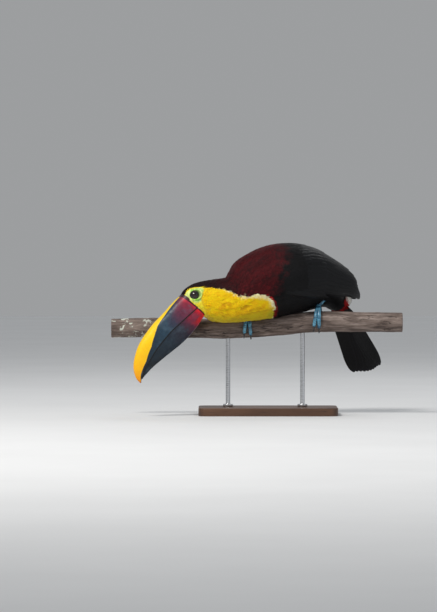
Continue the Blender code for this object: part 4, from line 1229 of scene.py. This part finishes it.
# Rows of quills: how many, then root stations, root angles, tip stations, tip angles, widths, and
# heights at root and tip. Each pair runs from the uppermost feather to the lowest.
WING_ROWS = (
    # primaries, secondaries and tertials
    (9, (11.2, 10.2), (84, 112), (15.7, 16.7), (62, 92), (13, 10), (-3.6, -3.6), (-2.6, -3.4)),
    (10, (10.9, 10.1), (30, 108), (14.2, 15.4), (20, 100), (19, 14), (-2.6, -3.0), (-1.0, -2.4)),
    (5, (10.9, 10.9), (16, 50), (13.4, 14.6), (14, 52), (22, 19), (-1.8, -2.2), (0.2, -0.8)),
    # greater coverts, alula, primary coverts and median coverts
    (11, (10.2, 9.9), (34, 112), (12.3, 12.0), (30, 116), (18, 14), (-2.2, -2.2), (-0.8, -1.2)),
    (3, (8.9, 9.0), (101, 106), (10.8, 11.4), (112, 117), (10, 9), (-2.0, -2.0), (-0.4, -0.8)),
    (6, (9.4, 9.2), (100, 106), (11.7, 12.3), (112, 121), (11, 9), (-2.4, -2.4), (-1.0, -1.4)),
    (12, (9.7, 9.3), (36, 106), (10.9, 10.6), (34, 112), (15, 12), (-1.8, -1.8), (-0.4, -0.7)),
    # rear, middle and front scapulars
    (6, (10.7, 10.5), (5, 46), (13.3, 12.8), (5, 45), (17, 15), (-1.6, -2.0), (0.2, -0.2)),
    (7, (10.0, 9.8), (4, 50), (12.4, 12.0), (4, 50), (16, 14), (-1.2, -1.6), (0.5, 0.1)),
    (8, (9.3, 9.0), (4, 54), (11.5, 11.1), (4, 55), (15, 13), (-0.9, -1.3), (0.7, 0.3)),
)
BED_STATIONS = np.linspace(8.6, 16.4, 60)
BED_HEIGHTS = (-4.0, -5.6)  # over and under side
for side, name in ((1, "wing_left"), (-1, "wing_right")):
    chance = np.random.default_rng(61 + side)
    groups = []
    for count, root_a, root_b, tip_a, tip_b, wide, root_height, tip_height in WING_ROWS:
        scatter_a = UNEVEN_STATION * chance.normal(size=count)
        roots = np.column_stack([row_of(count, *root_a), side * np.radians(row_of(count, *root_b))])
        tip_turn = row_of(count, *tip_b) + UNEVEN_TURN * chance.normal(size=count)
        tips = np.column_stack([row_of(count, *tip_a) + scatter_a, side * np.radians(tip_turn)])
        vanes = lay_quills(back_surface, roots, tips, row_of(count, *wide), row_of(count, *root_height),
                           row_of(count, *tip_height), bow=side * WING_BOW)
        groups.append((vanes, QUILL, quill_colours(count, chance),
                       roots[:, 0], roots[:, 1]))
    place_piece(coat_mesh(name + "_quills", groups, wing_gloss), "black", name)

    rings = []
    for station, edge in zip(BED_STATIONS, np.interp(BED_STATIONS, *WING_EDGE.T) - 7):
        turn = side * np.linspace(WING_TOP, math.radians(edge), 28)
        over, under = (back_surface(np.full(28, station), turn, height) for height in BED_HEIGHTS)
        rings.append(np.concatenate([over, under[::-1]]))
    bed_points, bed_faces = closed_tube(np.array(rings))
    bed = make_mesh(name + "_bed", bed_points, bed_faces, gloss)
    add_values(bed, "marking", np.tile(QUILL_BLACK, (len(bed_points), 1)))
    place_piece(bed, "black")

    # Lesser coverts, from the wrist up to the scapulars.
    middle = side * math.radians(60)
    a, b, chance = scatter(back_surface, 8.5, 10.2, 3.4, 71 + side, middle - 0.7, middle + 0.7,
                           lambda a, b: folded(b) < np.interp(a, *WING_EDGE.T) - 1)
    coverts = grow(back_surface, a, b, chance, 14.0, 9.0, CLOSE, 0.3, sag=0.10, camber=0.03, slope=0.06,
                   root_dark=0.3, tip_light=0.2, streak=0.06)
    place_piece(coat_mesh(name + "_coverts", [coverts], gloss), "black")

# ---------------------------------------------------------------------------------------------
# Tail. Ten long quills with rounded ends, seen from below behind the branch: the middle pair is
# the longest and lies uppermost, the outer pairs lie beneath. White coverts lie over its root
# and red ones under it.

TAIL_ROOT, TAIL_END = np.array((122.0, 47.0, 212.0)), np.array((185.0, 72.0, 76.0))
TAIL_TWIST = math.radians(55)
TAIL_CAMBER = 0.10
# Share of the way down, half-width and thickness
TAIL_SHAPE = np.array(((0.0, 13.0, 6.5), (0.18, 20.0, 5.5), (0.40, 31.0, 4.0), (0.65, 40.0, 2.9),
                       (0.84, 43.0, 2.2), (0.93, 41.0, 1.9), (1.0, 35.0, 1.2)))
TAIL_QUILLS, TAIL_QUILL_WIDTH = 10, 27.0

tail_line = TAIL_END - TAIL_ROOT
tail_down = tail_line / np.linalg.norm(tail_line)
tail_side = np.array((math.sin(TAIL_TWIST), -math.cos(TAIL_TWIST), 0.0))
tail_side -= (tail_side @ tail_down) * tail_down
tail_side /= np.linalg.norm(tail_side)
tail_under = np.cross(tail_down, tail_side)


def tail_sheet(share, across, height=0.0):
    """The tail as a cambered sheet: a share of the way down it, an offset across it in half
    centimetres, raised towards its underside."""
    wide = np.interp(share, TAIL_SHAPE[:, 0], TAIL_SHAPE[:, 1])
    offset = 5.0 * across
    return (TAIL_ROOT + tail_line * share[..., None] + tail_side * offset[..., None]
            + tail_under * (TAIL_CAMBER * offset**2 / wide + height)[..., None])


def tail_round(share, angle, height=0.0):
    """The tail's root as a flattened oval: angle 0 is its left edge and 90 degrees its underside."""
    _, wide, thick = (np.interp(share, TAIL_SHAPE[:, 0], TAIL_SHAPE[:, k]) for k in range(3))
    sideways = (wide + height) * np.cos(angle)
    downwards = (thick + height) * np.sin(angle) + TAIL_CAMBER * wide * np.cos(angle) ** 2
    return (TAIL_ROOT + tail_line * share[..., None] + tail_side * sideways[..., None]
            + tail_under * downwards[..., None])


chance = np.random.default_rng(91)
place = np.linspace(-1, 1, TAIL_QUILLS)
inner = 1 - np.abs(place)
order = np.argsort(inner)
place, inner = place[order], inner[order]
TAIL_VANE = quill_shape(34, 9)
tail_roots = np.column_stack([np.full(TAIL_QUILLS, 0.02), 2.0 * place])
tail_tips = np.column_stack([0.955 + 0.042 * smooth_step(inner, 0, 0.9), 6.2 * place])
tail_vanes = lay_quills(tail_sheet, tail_roots, tail_tips, np.full(TAIL_QUILLS, TAIL_QUILL_WIDTH),
                        1.6 - 3.4 * inner, 1.1 - 2.6 * inner, cup=0.2, narrow_side=0.9, vane=TAIL_VANE)
tail_colours = quill_colours(TAIL_QUILLS, chance, TAIL_VANE)
tail = coat_mesh("tail_quills", [(tail_vanes, TAIL_VANE, tail_colours, np.full(TAIL_QUILLS, 17.3), place)],
                 wing_gloss)
place_piece(tail, "black", "tail")

tail_groups = []
# The red coverts under the tail's root are painted at half the scarlet: painted shade.
for seed, middle, colour, reach in ((93, 90, 0.5 * SCARLET, 0.08), (94, -90, WHITE, 0.16)):
    low, high = math.radians(middle - 78), math.radians(middle + 78)
    a, b, chance = scatter(tail_round, 0.0, reach, 2.2, seed, low, high)
    count = len(a)
    vanes = lay_vanes(tail_round, a, b, 17.0 + 5.0 * chance.random(count), 6.0,
                      0.10 * chance.normal(size=count), SOFT, -1.0, 0.7)
    base = np.tile(colour, (count, 1)) * (0.75 + 0.2 * chance.random((count, 1)))
    tail_groups.append((vanes, SOFT, vane_colours(base, SOFT[0], SOFT[1], chance),
                        np.full(count, 17.0), b))
a, b, chance = scatter(body_surface, 13.6, 16.1, 2.6, 95,
                       where=lambda a, b: folded(b) > np.where(a > 14.6, 0, 104))
rump = grow(body_surface, a, b, chance, 17.0, 7.0, SOFT, 0.3,
            keep=lambda s, t, u: (s > 13.6) & (markings(s, t, u)[4] > 0.5), root_dark=0.3, tip_light=0.1)
place_piece(coat_mesh("tail_coverts", tail_groups + [rump], velvet), "black")

# ---------------------------------------------------------------------------------------------
# Feet. Two toes forward and two back grip the branch from above. Blue-grey scaled skin: broad
# plates over the top of each toe, small scales at its sides and a row of pads beneath.

FEET = {  # X on the branch, hub's rise, ankle, and each toe's spread along X and sweep in degrees
    "left": (91, 6.5, (99, -1, 207), ((-9, 114), (0.5, 122), (7, -108), (-6, -84))),
    "right": (-37, 5.5, (-20, 9, 195), ((-6, 116), (6, 128), (5, -110), (-6, -86)))}
HUB_RISE = 3.6  # how high the toes meet over the bark, beyond the foot's own rise
SHANK_RADII, SHANK_RINGS = (4.6, 4.2, 4.4, 5.2), 40
TOE_RADII, TOE_RINGS = (3.9, 3.7, 3.5, 3.4, 3.1, 2.7), 54
TOE_SHARES = np.array((0.20, 0.38, 0.58, 0.80, 1.0))
TOE_CLEARANCE = 4.0
CLAW_RADII, CLAW_RINGS = (2.3, 2.0, 1.55, 1.0, 0.35), 22
CLAW_SHARES = np.array((-0.05, 0.25, 0.5, 0.75, 1.0))
CLAW_ARCH, CLAW_SWEEP, CLAW_DROP = 2.7, 36.0, 3.2
PLATE_LENGTH, PLATE_DEPTH = 3.1, 0.34
PAD_LENGTH, PAD_SWELL = 7.5, 0.07
LIMB_SIDES = 20


def on_branch(x, turn, lift):
    """A point over the branch's bark: at X, turned round it from the top by degrees, and lifted."""
    centre, radius = branch_line(np.asarray(x, float))
    turn = np.radians(turn)
    return np.stack([x + 0 * turn, -(radius + lift) * np.sin(turn),
                     centre + (radius + lift) * np.cos(turn)], -1)


def scaled_tube(path, radii, rings, outer, wide=1.0, plates=True):
    """A round limb along a path: circles square to it, whose angle 0 faces the outer direction.
    Plates step up slowly and drop sharply along the outer half, and pads swell beneath. Returns
    the surface's points and, for each, 0 in a groove to 1 on a plate."""
    knots = np.linspace(0, 1, len(path))
    share = np.linspace(0, 1, rings)
    line = spline(knots, path, share)
    ahead = np.gradient(line, axis=0)
    step = np.linalg.norm(ahead, axis=1, keepdims=True)
    ahead /= step
    up = outer(line)
    up -= np.einsum("ij,ij->i", up, ahead)[:, None] * ahead
    up /= np.linalg.norm(up, axis=1, keepdims=True)
    across = np.cross(ahead, up)
    angle = np.linspace(0, 2 * math.pi, LIMB_SIDES, endpoint=False)
    run = np.concatenate([[0], np.cumsum(step[1:, 0])])[:, None]
    closing = np.sqrt(1 - 0.9 * smooth_step(share, 0.94, 1.0))
    radius = np.interp(share, knots, radii)[:, None] * closing[:, None]
    on_top = smooth_step(np.cos(angle), -0.15, 0.45)[None]
    saw = (run / PLATE_LENGTH + 0.12 * np.cos(angle)[None]) % 1
    plate = smooth_step(saw, 0.0, 0.16) * (1 - smooth_step(saw, 0.88, 1.0))
    pads = PAD_SWELL * np.cos(run / PAD_LENGTH * 2 * math.pi) * (1 - on_top)
    radius = radius * (1 + pads) + (PLATE_DEPTH * (plate - 1) * on_top if plates else 0)
    points = line[:, None] + ((up[:, None] * np.cos(angle)[None, :, None]
                               + wide * across[:, None] * np.sin(angle)[None, :, None]) * radius[..., None])
    return points, 1 - (1 - plate) * on_top


def gather(name, tubes, material, attribute):
    """Closed tubes as one mesh, with their values in the attribute."""
    points, faces, values, first = [], [], [], 0
    for rings, value in tubes:
        flat, tube = closed_tube(rings)
        points.append(flat)
        faces += [part + first for part in tube]
        values.append(np.append(value.ravel(), (value[0].mean(), value[-1].mean())))
        first += len(flat)
    mesh = make_mesh(name, np.concatenate(points), faces, material)
    add_values(mesh, attribute, np.concatenate(values))
    return mesh


foot_finish, tree, shader = new_finish("foot_skin", Roughness=0.28, Specular_IOR_Level=0.6)
plate_value = value_of(tree, "plate")
scales = add_node(tree, "ShaderNodeTexVoronoi", {"Vector": own_place(tree), "Scale": 900.0},
                  feature="DISTANCE_TO_EDGE").outputs[0]
between = sums(tree, "MULTIPLY", plate_value, spread(tree, scales, 0.0, 0.12, 0.55, 1.0))
tinge = grain(tree, own_place(tree), 130.0, 3.0)
foot_colour = blend(tree, spread(tree, tinge, 0.35, 0.65), paint(38, 88, 118), paint(104, 172, 200))
wear(tree, shader, blend(tree, between, paint(22, 44, 60), foot_colour))
relief(tree, shader, scales, 0.25, 0.7)

claw_finish, tree, shader = new_finish("claw_horn", Roughness=0.26, Specular_IOR_Level=0.5)
worn = grain(tree, own_place(tree), 500.0, 3.0)
tip_value = value_of(tree, "tip")
horn = blend(tree, tip_value, paint(44, 42, 44), paint(24, 22, 24))
wear(tree, shader, blend(tree, spread(tree, worn, 0.45, 0.75), horn, paint(78, 72, 70)))
relief(tree, shader, worn, 0.08, 0.5)


def out_of_branch(line):
    """Directions straight out of the branch at points of a line."""
    away = line - np.stack([line[:, 0], 0 * line[:, 0], branch_line(line[:, 0])[0]], -1)
    return away / np.linalg.norm(away, axis=1, keepdims=True)


def forward_of_leg(line):
    """The bird's forward direction at points of a line."""
    return np.tile((-0.87, -0.5, 0.0), (len(line), 1))


for side, (x, rise, ankle, toes) in FEET.items():
    hub = on_branch(x, 0.0, rise + HUB_RISE)
    shank = hub + np.linspace(-0.02, 1.12, 4)[:, None] * (np.array(ankle, float) - hub)
    tubes = [scaled_tube(shank, SHANK_RADII, SHANK_RINGS, forward_of_leg)]
    for digit, (shift, sweep) in zip("2341", toes):
        toe = on_branch(x + shift * TOE_SHARES**0.8, sweep * TOE_SHARES,
                        TOE_CLEARANCE + 0.9 * rise * (1 - TOE_SHARES) ** 2.2)
        tubes.append(scaled_tube(np.concatenate([[hub], toe]), TOE_RADII, TOE_RINGS, out_of_branch))
        lift = TOE_CLEARANCE - CLAW_DROP * CLAW_SHARES + CLAW_ARCH * np.sin(math.pi * CLAW_SHARES)
        claw = on_branch(x + shift * (1 + 0.06 * CLAW_SHARES),
                         sweep + math.copysign(CLAW_SWEEP, sweep) * CLAW_SHARES, lift)
        horn_tube, _ = scaled_tube(claw, CLAW_RADII, CLAW_RINGS, out_of_branch, 0.8, plates=False)
        tip = np.broadcast_to(np.linspace(0, 1, CLAW_RINGS)[:, None], horn_tube.shape[:2])
        place_piece(gather(f"claw_{side}_{digit}_horn", [(horn_tube, tip)], claw_finish, "tip"), "claw",
                    f"claw_{side}_{digit}")
    place_piece(gather(f"foot_{side}_skin", tubes, foot_finish, "plate"), "feet", f"foot_{side}")
